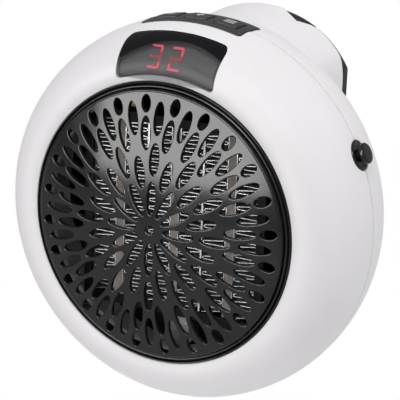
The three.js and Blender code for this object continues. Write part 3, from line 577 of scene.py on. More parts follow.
# Fine lines of drawn or rolled metal: the coordinates come in already stretched along them
def drawnLines():
    group, come, leave = startGroup("drawnLines", [("Lines", "Float", 900)], ("Height", "Tone"))
    group.links.new(addNoise(group, come["Vector"], come["Lines"], 4), leave["Height"])
    stain = addNoise(group, come["Vector"], effects["stainScale"], 2)
    group.links.new(addRange(group, stain, effects["stainSpan"]), leave["Tone"])
    return group


groups = {"mouldGrain": mouldGrain(), "settledDust": settledDust(), "drawnLines": drawnLines()}


def addGroup(tree, name, place, **values):
    node = tree.nodes.new("ShaderNodeGroup")
    node.node_tree = groups[name]
    tree.links.new(place, node.inputs["Vector"])
    for label, value in values.items():
        node.inputs[label].default_value = value
    return node


def startMaterial(name, colour, roughness, metallic=0.0, specular=0.5):
    material = bpy.data.materials.new(name)
    material.use_nodes = True
    material.diffuse_color = (*colour, 1)
    shader = material.node_tree.nodes["Principled BSDF"]
    shader.inputs["Base Color"].default_value = (*colour, 1)
    shader.inputs["Roughness"].default_value = roughness
    shader.inputs["Metallic"].default_value = metallic
    shader.inputs["Specular IOR Level"].default_value = specular
    return material, material.node_tree, shader


# Roughness that rises with the tone
def addRough(tree, tone, look):
    return addRange(tree, tone, (0, 1), (look["roughness"], look["roughness"] + look["spread"]))


# Moulded plastic: colours drift slightly, fine grain, dust on top
def mouldedPlastic(name, look):
    material, tree, shader = startMaterial(name, look["colour"], look["roughness"], 0.0, look["specular"])
    place = objectPlace(tree)
    facing = tree.nodes.new("ShaderNodeNewGeometry").outputs["Normal"]
    grain = addGroup(tree, "mouldGrain", place, Grain=look["grain"], Drift=look["drift"])
    dust = addGroup(tree, "settledDust", place, Amount=look["dust"])
    tree.links.new(facing, dust.inputs["Facing"])
    tone = grain.outputs["Tone"]
    mask = dust.outputs["Mask"]
    base = addMix(tree, tone, look["colour"], look["shade"])
    tree.links.new(addMix(tree, mask, base, look["dustColour"]), shader.inputs["Base Color"])
    dusty = addMath(tree, "MULTIPLY", mask, effects["dustRough"])
    tree.links.new(addMath(tree, "ADD", addRough(tree, tone, look), dusty), shader.inputs["Roughness"])
    addBump(tree, shader, grain.outputs["Height"], look["bump"])
    return material


plastic = {"dustColour": (0.25, 0.24, 0.23), "specular": 0.25}
plastics = {
    "whiteShell": {
        **plastic, "colour": (0.80, 0.775, 0.79), "shade": (0.785, 0.76, 0.77), "roughness": 0.45,
        "dustColour": (0.62, 0.60, 0.58), "spread": 0.06, "grain": 1800, "drift": 22, "bump": 0.000012,
        "dust": 0.08,
    },
    "glossBlack": {
        **plastic, "colour": (0.010, 0.010, 0.011), "shade": (0.014, 0.014, 0.015), "roughness": 0.12,
        "spread": 0.05, "grain": 240, "drift": 60, "bump": 0.00001, "dust": 0.05,
    },
    "panelGrey": {
        **plastic, "colour": (0.030, 0.030, 0.032), "shade": (0.037, 0.037, 0.039), "roughness": 0.42,
        "spread": 0.08, "grain": 2200, "drift": 60, "bump": 0.00002, "dust": 0.06,
    },
    "mattBlack": {
        **plastic, "colour": (0.012, 0.012, 0.014), "shade": (0.018, 0.018, 0.020), "roughness": 0.45,
        "spread": 0.1, "grain": 1600, "drift": 40, "bump": 0.00003, "dust": 0.08,
    },
    "darkMoulding": {
        "colour": (0.005, 0.005, 0.005), "shade": (0.008, 0.008, 0.008), "roughness": 0.6,
        "dustColour": (0.08, 0.08, 0.08), "specular": 0.12, "spread": 0.1, "grain": 1200, "drift": 40,
        "bump": 0.00003, "dust": 0.06,
    },
    "blueCase": {
        "colour": (0.02, 0.08, 0.20), "shade": (0.03, 0.10, 0.24), "roughness": 0.42,
        "dustColour": (0.3, 0.3, 0.3), "specular": 0.5, "spread": 0.1, "grain": 1400, "drift": 70,
        "bump": 0.00002, "dust": 0.1,
    },
    "displayMask": {
        "colour": (0.42, 0.42, 0.43), "shade": (0.39, 0.39, 0.40), "roughness": 0.6,
        "dustColour": (0.4, 0.4, 0.4), "specular": 0.2, "spread": 0.06, "grain": 1800, "drift": 40,
        "bump": 0.000005, "dust": 0.0,
    },
    "symbolPaint": {
        "colour": (0.52, 0.53, 0.53), "shade": (0.45, 0.46, 0.46), "roughness": 0.5,
        "dustColour": (0.4, 0.4, 0.4), "specular": 0.3, "spread": 0.08, "grain": 3000, "drift": 300,
        "bump": 0.00001, "dust": 0.05,
    },
}


# Bare metal: drawn lines along one axis, tone and gloss drift with them
def bareMetal(name, look):
    material, tree, shader = startMaterial(name, look["colour"], look["roughness"], 1.0)
    stretch = tree.nodes.new("ShaderNodeMapping")
    stretch.inputs["Scale"].default_value = (1, look["stretch"], 1)
    tree.links.new(objectPlace(tree), stretch.inputs["Vector"])
    lines = addGroup(tree, "drawnLines", stretch.outputs["Vector"], Lines=look["lines"])
    tone = lines.outputs["Tone"]
    tree.links.new(addMix(tree, tone, look["colour"], look["shade"]), shader.inputs["Base Color"])
    tree.links.new(addRough(tree, tone, look), shader.inputs["Roughness"])
    addBump(tree, shader, lines.outputs["Height"], look["bump"])
    return material


metals = {
    "foilAluminium": {
        "colour": (0.56, 0.57, 0.58), "shade": (0.44, 0.45, 0.46), "roughness": 0.36, "spread": 0.15,
        "lines": 900, "stretch": 0.08, "bump": 0.00001,
    },
    "brightSteel": {
        "colour": (0.62, 0.62, 0.63), "shade": (0.52, 0.52, 0.53), "roughness": 0.25, "spread": 0.12,
        "lines": 1200, "stretch": 0.1, "bump": 0.00001,
    },
    "contactBrass": {
        "colour": (0.74, 0.55, 0.24), "shade": (0.60, 0.42, 0.18), "roughness": 0.3, "spread": 0.15,
        "lines": 900, "stretch": 0.1, "bump": 0.00001,
    },
    "platedPin": {
        "colour": (0.78, 0.77, 0.74), "shade": (0.68, 0.66, 0.62), "roughness": 0.18, "spread": 0.1,
        "lines": 1500, "stretch": 0.06, "bump": 0.000008,
    },
}


# Fired ceramic bars: warm tan with a cloudy, slightly chalky face
def ptcCeramic():
    look = {
        "colour": (0.44, 0.365, 0.315), "shade": (0.33, 0.27, 0.23), "speck": (0.55, 0.49, 0.44),
        "speckSpan": (0.55, 0.75), "roughness": 0.6, "grain": 2600, "drift": 180, "bump": 0.00004,
    }
    material, tree, shader = startMaterial("ptcCeramic", look["colour"], look["roughness"])
    grain = addGroup(tree, "mouldGrain", objectPlace(tree), Grain=look["grain"], Drift=look["drift"])
    cloud = addMix(tree, grain.outputs["Tone"], look["colour"], look["shade"])
    specks = addRange(tree, grain.outputs["Height"], look["speckSpan"])
    tree.links.new(addMix(tree, specks, cloud, look["speck"]), shader.inputs["Base Color"])
    addBump(tree, shader, grain.outputs["Height"], look["bump"])
    return material


# Circuit board: green resist over a pattern of tracks
def circuitBoard():
    look = {
        "resist": (0.01, 0.10, 0.035), "track": (0.02, 0.17, 0.06), "roughness": 0.35,
        "tracks": 260, "trackSpan": (0.42, 0.48), "bump": 0.00004,
    }
    material, tree, shader = startMaterial("circuitBoard", look["resist"], look["roughness"])
    tracks = tree.nodes.new("ShaderNodeTexVoronoi")
    tracks.distance = "MANHATTAN"
    tracks.inputs["Scale"].default_value = look["tracks"]
    tree.links.new(objectPlace(tree), tracks.inputs["Vector"])
    copper = addRange(tree, tracks.outputs["Distance"], look["trackSpan"])
    tree.links.new(addMix(tree, copper, look["resist"], look["track"]), shader.inputs["Base Color"])
    addBump(tree, shader, copper, look["bump"])
    return material


# Smoked window: see-through, with a darker band across the top whose lower edge is a low arch; the band is
# a painted reflection
def smokedLens():
    # The dark colour above the arch is a painted reflection
    look = {
        "glass": (0.05, 0.05, 0.052), "paintedReflection": (0.006, 0.006, 0.007), "roughness": 0.3, "specular": 0.12,
        "alpha": (0.35, 0.97),     # of the glass and of the band
        "archTop": 75.9, "archFall": 0.0139, "archSkew": 0.1, "archSoft": 0.15,
    }
    material, tree, shader = startMaterial(
        "smokedLens", look["glass"], look["roughness"], 0.0, look["specular"],
    )
    split = tree.nodes.new("ShaderNodeSeparateXYZ")
    tree.links.new(objectPlace(tree), split.inputs["Vector"])
    across = addMath(tree, "DIVIDE", split.outputs["X"], millimetre)
    height = addMath(tree, "SUBTRACT", split.outputs["Z"], heaterPlace.z)
    bent = addMath(tree, "MULTIPLY", across, look["archFall"])
    fall = addMath(tree, "MULTIPLY", across, addMath(tree, "SUBTRACT", bent, look["archSkew"]))
    over = addMath(tree, "ADD", addMath(tree, "DIVIDE", height, millimetre), fall)
    edge = (look["archTop"] - look["archSoft"], look["archTop"] + look["archSoft"])
    # Painted reflection: above the arch the lens turns darker and almost opaque
    paintedReflection = addRange(tree, over, edge)
    tree.links.new(addMix(tree, paintedReflection, look["glass"], look["paintedReflection"]), shader.inputs["Base Color"])
    tree.links.new(addRange(tree, paintedReflection, (0, 1), look["alpha"]), shader.inputs["Alpha"])
    return material


# Lit segments of the display
def litSegment():
    look = {
        "colour": (0.62, 0.05, 0.07), "light": (1.0, 0.16, 0.22), "soft": (0.8, 0.128, 0.176),
        "strength": 0.5, "roughness": 0.4, "grain": 1500, "drift": 400,
    }
    material, tree, shader = startMaterial("litSegment", look["colour"], look["roughness"])
    grain = addGroup(tree, "mouldGrain", objectPlace(tree), Grain=look["grain"], Drift=look["drift"])
    light = addMix(tree, grain.outputs["Tone"], look["light"], look["soft"])
    tree.links.new(light, shader.inputs["Emission Color"])
    shader.inputs["Emission Strength"].default_value = look["strength"]
    return material


finish = {name: mouldedPlastic(name, look) for name, look in plastics.items()}
finish.update({name: bareMetal(name, look) for name, look in metals.items()})
finish["ptcCeramic"] = ptcCeramic()
finish["circuitBoard"] = circuitBoard()
finish["smokedLens"] = smokedLens()
finish["litSegment"] = litSegment()
print("finishes made")


# Display: a lens between two arcs about the body's axis and two sides, a mask behind it and two lit digits
display = {
    "half": 22.0,
    "flare": 0.85,
    "turn": 0.5,      # degrees that the window sits turned by about the body's axis
    "low": 62.7,
    "high": 78.6,
    "corner": 3.0,
    "arcSteps": 36,
    "proud": 0.3,
    "thickness": 2.0,
    "rounding": 0.45,
    "meshStep": 1.3,
    "maskInset": 2.2,
    "maskThickness": 0.8,
    "maskRounding": 0.2,
    "maskMeshStep": 1.6,
    "edgeStep": 0.9,
    "digitRadius": 70.5,
    "digitRight": -0.9,
    "digitHeight": 10.4,
    "digitWidth": 5.5,
    "digitGap": 4.0,
    "digitSlant": -0.03,
    "stroke": 1.05,
    "strokeGap": 0.08,     # share of the stroke that stays open between two segments' ends
    "raised": 0.25,
    "sunk": 0.02,
}


# Bend between two points that starts and ends towards a third
def bend(first, towards, last, steps=6):
    points = []
    for flow in span(0, 1, steps):
        before = Vector(first).lerp(Vector(towards), flow)
        after = Vector(towards).lerp(Vector(last), flow)
        points.append(tuple(before.lerp(after, flow)))
    return points


# The lens's outline in the front view, grown by a clearance
def lensLoop(grow):
    half = display["half"] + grow
    wide = half + display["flare"]
    low = display["low"] - grow
    high = display["high"] + grow
    corner = display["corner"]
    lowClock = math.asin(half / low)
    highClock = math.asin(wide / high)
    lowEnd = lowClock - corner / low
    highEnd = highClock - corner / high
    bottom = low * math.cos(lowClock)
    top = high * math.cos(highClock)
    lean = display["flare"] * corner / (top - bottom)
    loop = [around(clock, low) for clock in span(-lowEnd, lowEnd, display["arcSteps"])]
    loop += bend(around(lowEnd, low), around(lowClock, low), (half + lean, bottom + corner))[1:]
    loop += bend((wide - lean, top - corner), around(highClock, high), around(highEnd, high))
    loop += [around(clock, high) for clock in span(highEnd, -highEnd, display["arcSteps"])][1:]
    loop += bend(around(-highEnd, high), around(-highClock, high), (lean - wide, top - corner))[1:]
    loop += bend((-half - lean, bottom + corner), around(-lowClock, low), around(-lowEnd, low))[:-1]
    turn = math.radians(display["turn"])
    return [
        (x * math.cos(turn) + z * math.sin(turn), z * math.cos(turn) - x * math.sin(turn)) for x, z in loop
    ]


# Key strip, whose rear half is a step longer at both ends, and its three keys
panel = {
    "front": 20.0,
    "back": 39.5,
    "half": 23.0,
    "step": 0.45,
    "stepLong": 2.0,
    "stepRound": 1.5,
    "corner": 2.0,
    "proud": 0.3,
    "thickness": 2.2,
    "rounding": 0.35,
    "meshStep": 1.5,
    "edgeStep": 1.0,
    "boardTop": 73.6,
}
keys = {
    "x": 10.6,
    "y": 9.4,
    "pitch": 13.8,
    "depth": 29.6,
    "corner": 1.0,
    "proud": 0.8,
    "tall": 4.2,
    "rounding": 0.55,
    "symbolProud": 0.1,
    "symbolThickness": 0.3,
    "symbolRounding": 0.06,
    "symbolMeshStep": 0.9,
    "symbolEdgeStep": 0.5,
    "barLong": 4.6,
    "barWide": 0.75,
    "barPitch": 1.7,
    "barRoundShare": 0.3,
    "crossShare": 0.8,     # length of the minus and plus against the bars
}


# Outlines of the strip and of a key in the top view, grown by a clearance
def panelLoop(grow):
    front = panel["front"] - grow
    back = panel["back"] + grow
    half = panel["half"] + grow
    long = half + panel["step"]
    right = [
        (half, front, panel["corner"]),
        (half, body["seam"] - panel["step"] - panel["stepLong"], panel["stepRound"]),
        (long, body["seam"] - panel["step"], panel["stepRound"]),
        (long, back, panel["corner"]),
    ]
    return rounded(right + [(-x, y, corner) for x, y, corner in reversed(right)])


def keyLoop(atX, grow):
    x = keys["x"] / 2 + grow
    y = keys["y"] / 2 + grow
    corners = [(-x, -y), (x, -y), (x, y), (-x, y)]
    return rounded([(atX + dx, keys["depth"] + dy, keys["corner"] + grow) for dx, dy in corners])


# Power switch: its pieces are turned about the depth axis, then stood up to point out at its clock angle
switch = {
    "clock": 64.8,         # degrees
    "depth": 29.5,
    "bezel": 6.3,
    "bezelFloor": 80.9,
    "bezelTop": 82.6,
    "barrel": 4.6,
    "barrelEnd": 78.0,
    "dish": 0.9,
    "neck": 2.4,
    "neckEnd": 79.8,
    "cap": 4.4,
    "capFace": 86.1,
    "capThickness": 2.1,
    "crownDeep": 0.15,     # fall of the cap's face from its middle to its edge
    "crownShare": 0.55,    # part of the cap's radius where the crown bends most
    "crownRound": 3.0,
    "capRound": 0.8,
    "capUnderRound": 0.45,
    "stemRound": 0.25,
    "bezelRound": 0.7,
    "soft": 0.3,           # roundings of plain edges
    "fine": 0.2,
    "holeDeeper": 1.0,     # how far the hole in the shells reaches past the barrel's end
    "steps": 96,
}


def atSwitch(piece):
    turn = Matrix.Rotation(math.radians(switch["clock"]), 4, "Y") @ Matrix.Rotation(math.pi / 2, 4, "X")
    return shift(piece, Matrix.Translation((0, switch["depth"], 0)) @ turn)


def panelTool():
    high = body["radius"] + body["overrun"]
    return drawnOut("panelTool", panelLoop(body["gap"]), panel["boardTop"], high, "top")


def switchTool():
    gap = body["gap"]
    return atSwitch(steppedHole(
        "switchTool", switch["barrel"] + gap, switch["bezel"] + gap,
        switch["barrelEnd"] - switch["holeDeeper"], switch["bezelFloor"] - gap,
        body["radius"] + body["overrun"],
    ))


# Front shell
frontShell = {
    "opening": 60.1,
    "mouthRound": 0.5,
    "seamRound": 0.3,
    "seamSet": 0.25,      # its edge lies this far in front of the seam's middle
    "collar": 2.5,
    "seat": 4.2,
    "seatWidth": 4.6,
    "seatThickness": 2.0,
    "lip": 1.2,
    "lipRound": 0.3,
    "outerSteps": 52,
    "innerSteps": 40,
    "innerFrom": -0.1,    # profile angles between which the inside runs
    "innerTo": -1.5,
}


def addFrontShell():
    gap, wall, seam = body["gap"], body["wall"], body["seam"]
    opening = frontShell["opening"]
    outerAngles = span(angleAt(opening), 0, frontShell["outerSteps"])[:-1]
    innerAngles = span(frontShell["innerFrom"], frontShell["innerTo"], frontShell["innerSteps"])
    first, *outer = [bodyPoint(angle) for angle in outerAngles]
    inner = [bodyPoint(angle, wall) for angle in innerAngles]
    lip = body["radius"] - wall - gap
    collar = opening + frontShell["collar"]
    seatBack = frontShell["seat"] + frontShell["seatThickness"]
    seatEdge = opening - frontShell["seatWidth"]
    outline = rounded([
        (*first, frontShell["mouthRound"]),
        *[(radius, depth, 0) for radius, depth in outer],
        (body["radius"], seam - frontShell["seamSet"], frontShell["seamRound"]),
        (lip, seam - frontShell["seamSet"], 0),
        (lip, seam + wall, frontShell["lipRound"]),
        (lip - frontShell["lip"], seam + wall, frontShell["lipRound"]),
        (lip - frontShell["lip"], seam - wall, 0),
        *[(radius, depth, 0) for radius, depth in inner],
        (collar, inner[-1][1], 0),
        (collar, seatBack, 0),
        (seatEdge, seatBack, 0),
        (seatEdge, frontShell["seat"], 0),
        (opening, frontShell["seat"], 0),
    ])
    piece = turned("frontShell", outline, body["steps"])
    carve(piece, [drawnOut("lensTool", lensLoop(gap), -body["overrun"], seam - body["overrun"])])
    carve(piece, [panelTool()])
    carve(piece, [switchTool()])
    dress(settle(piece), "housing", ["front_shell"], "whiteShell")
    print("front shell made")


addFrontShell()


# Rear shell: the round back and the plug housing behind and above its middle, in one skin
rearShell = {
    "plugRise": 31.9,
    "hump": 48.3,
    "flat": 40.2,
    "flatSoft": 5.0,
    "taper": 2.8,
    "humpStart": 40.0,
    "humpWall": 3.0,
    "blend": 6.0,
    "rim": 90.7,
    "rimRound": 1.5,
    "rimPlate": 6.4,
    "hole": 21.3,
    "seamRound": 0.3,
    "seamSet": 0.25,      # its edge lies this far behind the seam's middle
    "centreShare": 0.376,     # of the plug's rise, where the rings of the back have their centre
    "backEndShare": 0.24,     # of the crest circle, where the round back ends inside the plug housing
    "points": 180,
    "firstAngle": 0.02,
    "faceRows": 40,
    "innerRows": 20,
    "humpRows": 12,
    "innerHumpRows": 4,
    "seamRows": 4,
    "rimRows": 6,
}
# Finger notches in the rim, lined in black. Their front edge is a row of (place clockwise, reach forward
# of the rim, rounding).
notch = {
    "clock": 21.0,     # degrees
    "deep": 2.4,
    "edge": [
        (-8, 0, 0), (-5.2, 3.6, 0.5), (-2.7, 5.4, 0.5), (2.7, 8.5, 0.5), (6, 5, 0.6), (7.8, 3.3, 0.6),
        (9.6, 2.2, 0.3), (10.6, 0, 0),
    ],
}
vents = {
    "pitch": 7.0,
    "half": 1.7,
    "eachSide": 6,
    "reach": 57.0,
    "margin": 5.0,
    "deep": 10.0,
    "roundSteps": 8,
}
# Screw towers inside, which end in the middle of the wall
towers = {
    "clocks": (95, 180, 265),     # degrees
    "place": 68.0,
    "radius": 5.0,
    "end": 66.0,
    "limitScale": 0.985,     # of the outside, beyond which a tower is cut off
    "hole": 1.75,
    "bore": 3.4,
    "seat": 40.0,
    "boreEnd": 75.0,
}


# Distance from a centre on the middle plane to a circle that sits some way above the body's axis
def reachTo(centre, rise, radius, clock):
    off = rise - centre
    inside = radius ** 2 - (off * math.sin(clock)) ** 2
    return off * math.cos(clock) + math.sqrt(inside) if inside > 0 else 0


# The same distance to the plug housing: a circle with two flat sides that come in with it
def humpReach(centre, radius, clock):
    soft = rearShell["flatSoft"]
    curve = reachTo(centre, rearShell["plugRise"], radius, clock)
    flat = (rearShell["flat"] - rearShell["hump"] + radius) / max(abs(math.sin(clock)), 0.001)
    near = max(soft - abs(curve - flat), 0) / soft
    return min(curve, flat) - near * near * soft / 4


def rearRing(depth, centre, bodyCircle, humpCircle, blend):
    ring = []
    for i in range(rearShell["points"]):
        clock = 2 * math.pi * i / rearShell["points"]
        back = reachTo(centre, 0, bodyCircle, clock)
        hump = humpReach(centre, humpCircle, clock) if humpCircle > 0 else 0
        near = max(blend - abs(back - hump), 0) / blend if blend > 0 else 0
        x, z = around(clock, max(back, hump) + near * near * blend / 4)
        ring.append((x, depth, centre + z))
    return ring


# Ring of the round hole for the dial's neck
def holeRing(depth):
    places = circle(rearShell["hole"], rearShell["points"])
    return [(x, depth, rearShell["plugRise"] + z) for x, z in places]


def humpAt(depth):
    along = (rearShell["rim"] - depth) / (rearShell["rim"] - rearShell["humpStart"])
    return rearShell["hump"] - rearShell["taper"] * max(0, along)


# Rings over one face of the rear shell, from the seam to the foot of the plug housing
def rearFace(inset, humpInset, rows):
    centre = rearShell["plugRise"] * rearShell["centreShare"]
    foot = body["crest"] * rearShell["backEndShare"]
    start, back = rearShell["humpStart"], body["seam"] + body["rearCurve"]
    rings = []
    for angle in span(rearShell["firstAngle"], math.pi / 2, rows):
        radius, depth = bodyPoint(angle, inset)
        flow = min(1, max(0, (depth - start) / (back - start)))
        hump = humpAt(depth) - humpInset if depth > start else 0
        rings.append(rearRing(depth, centre * flow, radius, hump, rearShell["blend"] * flow))
    for flow in span(0, 1, rows // 2)[1:]:
        radius = body["crest"] + (foot - body["crest"]) * flow
        depth = back - inset + body["rearDome"] * (1 - (radius / body["crest"]) ** 2)
        blend = rearShell["blend"] * (1 - flow)
        rings.append(rearRing(depth, centre, radius, humpAt(depth) - humpInset, blend))
    return rings


def rearRings():
    seam, wall = body["seam"], body["wall"]
    centre = rearShell["plugRise"] * rearShell["centreShare"]
    backDepth = seam + body["rearCurve"] + body["rearDome"]
    rim, corner = rearShell["rim"], rearShell["rimRound"]
    platePlane = rim - rearShell["rimPlate"]
    edge, start = rearShell["seamRound"], seam + rearShell["seamSet"]
    outer = []
    for turn in span(0, math.pi / 2, rearShell["seamRows"]):
        radius = body["radius"] - edge * (1 - math.sin(turn))
        outer.append(rearRing(start + edge * (1 - math.cos(turn)), 0, radius, 0, 0))
    outer += rearFace(0, 0, rearShell["faceRows"])
    for depth in span(backDepth, rim - corner, rearShell["humpRows"])[1:]:
        outer.append(rearRing(depth, centre, 0, humpAt(depth), 0))
    for turn in span(0, math.pi / 2, rearShell["rimRows"])[1:]:
        radius = humpAt(rim - corner) - corner * (1 - math.cos(turn))
        outer.append(rearRing(rim - corner * (1 - math.sin(turn)), centre, 0, radius, 0))
    inner = rearFace(wall, rearShell["humpWall"], rearShell["innerRows"])
    inner += [
        rearRing(depth, centre, 0, humpAt(depth) - rearShell["humpWall"], 0)
        for depth in span(backDepth - wall, platePlane, rearShell["innerHumpRows"])[1:]
    ]
    hole = [holeRing(rim), holeRing(platePlane)]
    foot = rearRing(start, 0, body["radius"] - wall, 0, 0)
    return outer, [*outer, *hole, *reversed(inner), foot, outer[0]]


def slotOutline(x, low, high, half):
    outline = []
    for turn in span(0, math.pi, vents["roundSteps"]):
        outline.append((x + half * math.cos(turn), high - half + half * math.sin(turn)))
    for turn in span(0, math.pi, vents["roundSteps"]):
        outline.append((x - half * math.cos(turn), low + half - half * math.sin(turn)))
    return outline


def ventTools():
    tools = []
    back = body["seam"] + body["rearCurve"]
    for number in range(-vents["eachSide"], vents["eachSide"] + 1):
        x = number * vents["pitch"]
        top = rearShell["plugRise"] - math.sqrt(rearShell["hump"] ** 2 - x ** 2) - vents["margin"]
        bottom = -math.sqrt(vents["reach"] ** 2 - x ** 2)
        outline = slotOutline(x, bottom, top, vents["half"])
        tools.append(drawnOut("ventTool", outline, back - vents["deep"], back + vents["deep"]))
    return tools


# Moves a turned piece or tool to a screw's place
def atScrew(piece, clock):
    x, z = around(math.radians(clock), towers["place"])
    return shift(piece, Matrix.Translation((x, 0, z)))


# Towers cut off at the outside of the shell, which is drawn in a little towards the seam's middle
def towerPosts(outer):
    limit = loft("towerLimit", outer)
    openMesh("DESELECT")
    bpy.ops.mesh.select_non_manifold()
    bpy.ops.mesh.edge_face_add()
    closeMesh()
    weld(limit)
    shift(limit, Matrix.Translation((0, -body["seam"], 0)))
    shift(limit, Matrix.Scale(towers["limitScale"], 4))
    shift(limit, Matrix.Translation((0, body["seam"], 0)))
    low = body["seam"] + body["gap"]
    posts = [
        atScrew(disc("tower", towers["radius"], low, towers["end"]), clock) for clock in towers["clocks"]
    ]
    return carve(joined(posts), [limit], "INTERSECT")


def boreTool(clock):
    low = body["seam"] - body["overrun"]
    bore = steppedHole("boreTool", towers["hole"], towers["bore"], low, towers["seat"], towers["boreEnd"])
    return atScrew(bore, clock)


def notchTools():
    rim, hump, overrun = rearShell["rim"], rearShell["hump"], body["overrun"]
    edge = [(x, rim - forward, corner) for x, forward, corner in notch["edge"]]
    outline = rounded([(edge[0][0], rim + overrun, 0), *edge, (edge[-1][0], rim + overrun, 0)])
    place = Matrix.Translation((0, 0, rearShell["plugRise"]))
    tools = []
    for extra in (0, math.pi):
        tool = drawnOut("notchTool", outline, hump - notch["deep"], hump + overrun, "top")
        turn = Matrix.Rotation(math.radians(notch["clock"]) + extra, 4, "Y")
        tools.append(shift(tool, place @ turn))
    return joined(tools)


def addRearShell():
    outer, rings = rearRings()
    piece = loft("rearShell", rings)
    carve(piece, [towerPosts(outer)], "UNION")
    carve(piece, [boreTool(clock) for clock in towers["clocks"]])
    piece.data.materials.append(finish["whiteShell"])
    piece.data.materials.append(finish["mattBlack"])
    liner = notchTools()
    liner.data.materials.append(finish["mattBlack"])
    applyModifier(
        piece, "BOOLEAN", operation="DIFFERENCE", object=liner, solver="EXACT", material_mode="TRANSFER",
    )
    bpy.data.objects.remove(liner)
    carve(piece, ventTools())
    carve(piece, [panelTool()])
    carve(piece, [switchTool()])
    dress(settle(piece), "housing", ["rear_shell"])
    print("rear shell made")


addRearShell()


# Trim ring: two rounded beads with a fine groove between them
trimRing = {
    "outer": 59.8,
    "inner": 57.3,
    "crown": 0.85,
    "outerCrownShare": 0.8,
    "groove": 0.7,
    "grooveAt": 0.62,
    "grooveWide": 0.3,
    "beadSteps": 10,
    "steps": 192,
}


def bead(low, high, tall):
    middle, half = (low + high) / 2, (high - low) / 2
    turns = span(0, math.pi, trimRing["beadSteps"])
    return [(middle - half * math.cos(turn), -tall * math.sin(turn)) for turn in turns]


def addTrimRing():
    outer, inner, crown = trimRing["outer"], trimRing["inner"], trimRing["crown"]
    split = inner + (outer - inner) * trimRing["grooveAt"]
    outline = [
        (inner, ringSeat),
        *bead(inner, split - trimRing["grooveWide"], crown),
        (split, trimRing["groove"]),
        *bead(split + trimRing["grooveWide"], outer, crown * trimRing["outerCrownShare"]),
        (outer, ringSeat),
    ]
    piece = turned("trimRing", outline, trimRing["steps"])
    dress(settle(piece), "housing", ["trim_ring"], "glossBlack")
    print("trim ring made")


addTrimRing()


# Grille: a dome with six rings of slots; radii are counted over the front view
grille = {
    "radius": 57.0,
    "dome": 56.4,
    "rise": 6.0,
    "shoulder": 2.5,      # its edge stands this far in front of the ring's edge
    "shoulderRound": 0.7,
    "thickness": 1.8,
    "rounding": 0.36,
    "meshStep": 1.7,
    "skirt": 1.2,
    "skirtSet": 0.15,     # its front lies this far behind the dome's edge
    "hubHole": 1.9,
    "hubPoints": 20,
    "turn": 1.0,          # degrees that the whole pattern sits turned by
    "slotPoints": 28,
    "edgePoints": 240,
    "skirtSteps": 192,
}
# Slots from the hub outwards: count, turn in steps, inner and outer end and half width
grilleSlots = [
    (12, 0.0, 6.2, 20.1, 1.95),
    (12, 0.5, 17.4, 30.4, 2.1),
    (12, 0.0, 22.6, 35.9, 2.1),
    (24, 0.5, 33.0, 46.5, 2.15),
    (24, 0.0, 39.2, 52.6, 2.1),
    (24, 0.5, 48.1, 55.0, 2.0),
]


def onDome(x, z, inset):
    height = grille["shoulder"] + grille["rise"] * (1 - (x * x + z * z) / grille["dome"] ** 2)
    return x, inset - height, z


def slotLoop(clock, low, high, half):
    middle, long = (low + high) / 2, (high - low) / 2
    loop = []
    for turn in span(0, 2 * math.pi, grille["slotPoints"])[:-1]:
        out = middle + long * math.cos(turn)
        side = half * math.sin(turn)
        x, z = around(clock, out)
        loop.append((x + side * math.cos(clock), z - side * math.sin(clock)))
    return loop


def addGrille():
    holes = [circle(grille["hubHole"], grille["hubPoints"])]
    for count, first, low, high, half in grilleSlots:
        for i in range(count):
            clock = 2 * math.pi * (i + first) / count + math.radians(grille["turn"])
            holes.append(slotLoop(clock, low, high, half))
    piece = formedPlate(
        "frontGrille", circle(grille["dome"], grille["edgePoints"]), holes, onDome, grille["thickness"],
        grille["rounding"], grille["meshStep"],
    )
    radius, inner = grille["radius"], grille["radius"] - grille["skirt"]
    top = grille["skirtSet"] - grille["shoulder"]
    skirt = turned("grilleSkirt", rounded([
        (inner, top, 0),
        (inner, ringSeat, 0),
        (radius, ringSeat, 0),
        (radius, top, grille["shoulderRound"]),
    ]), grille["skirtSteps"])
    dress(settle(joined([piece, skirt])), "housing", ["front_grille"], "glossBlack")
    print("grille made")


addGrille()


# Display window, the mask behind it and the lit digits on the mask
def addWindow(name, inset, thickness, rounding, step):
    return settle(formedPlate(
        name, evened(lensLoop(0), display["edgeStep"]), [],
        lambda x, z, under: onFront(x, z, under + inset), thickness, rounding, step,
    ))


def addDisplayLens():
    lens = addWindow(
        "displayLens", -display["proud"], display["thickness"], display["rounding"], display["meshStep"],
    )
    dress(lens, "housing", ["display_lens"], "smokedLens")
    mask = addWindow(
        "displayMask", display["maskInset"], display["maskThickness"], display["maskRounding"],
        display["maskMeshStep"],
    )
    dress(mask, "housing", [], "displayMask")


# Segments of one digit, as (x, z, runs across) of their middles in half widths and half heights
segments = {
    "a": (0, 1, True), "b": (1, 0.5, False), "c": (1, -0.5, False), "d": (0, -1, True),
    "e": (-1, -0.5, False), "f": (-1, 0.5, False), "g": (0, 0, True),
}
lit = {"3": "abcdg", "2": "abdeg"}


def segmentLoop(atX, atZ, runsAcross):
    half = display["stroke"] / 2
    whole = display["digitWidth"] if runsAcross else display["digitHeight"] / 2
    long = whole / 2 - display["stroke"] * (0.5 + display["strokeGap"])
    loop = [(-long, -half), (long, -half), (long + half, 0), (long, half), (-long, half), (-long - half, 0)]
    if not runsAcross:
        loop = [(-z, x) for x, z in loop]
    return [(atX + x + (atZ + z) * display["digitSlant"], atZ + z) for x, z in loop]


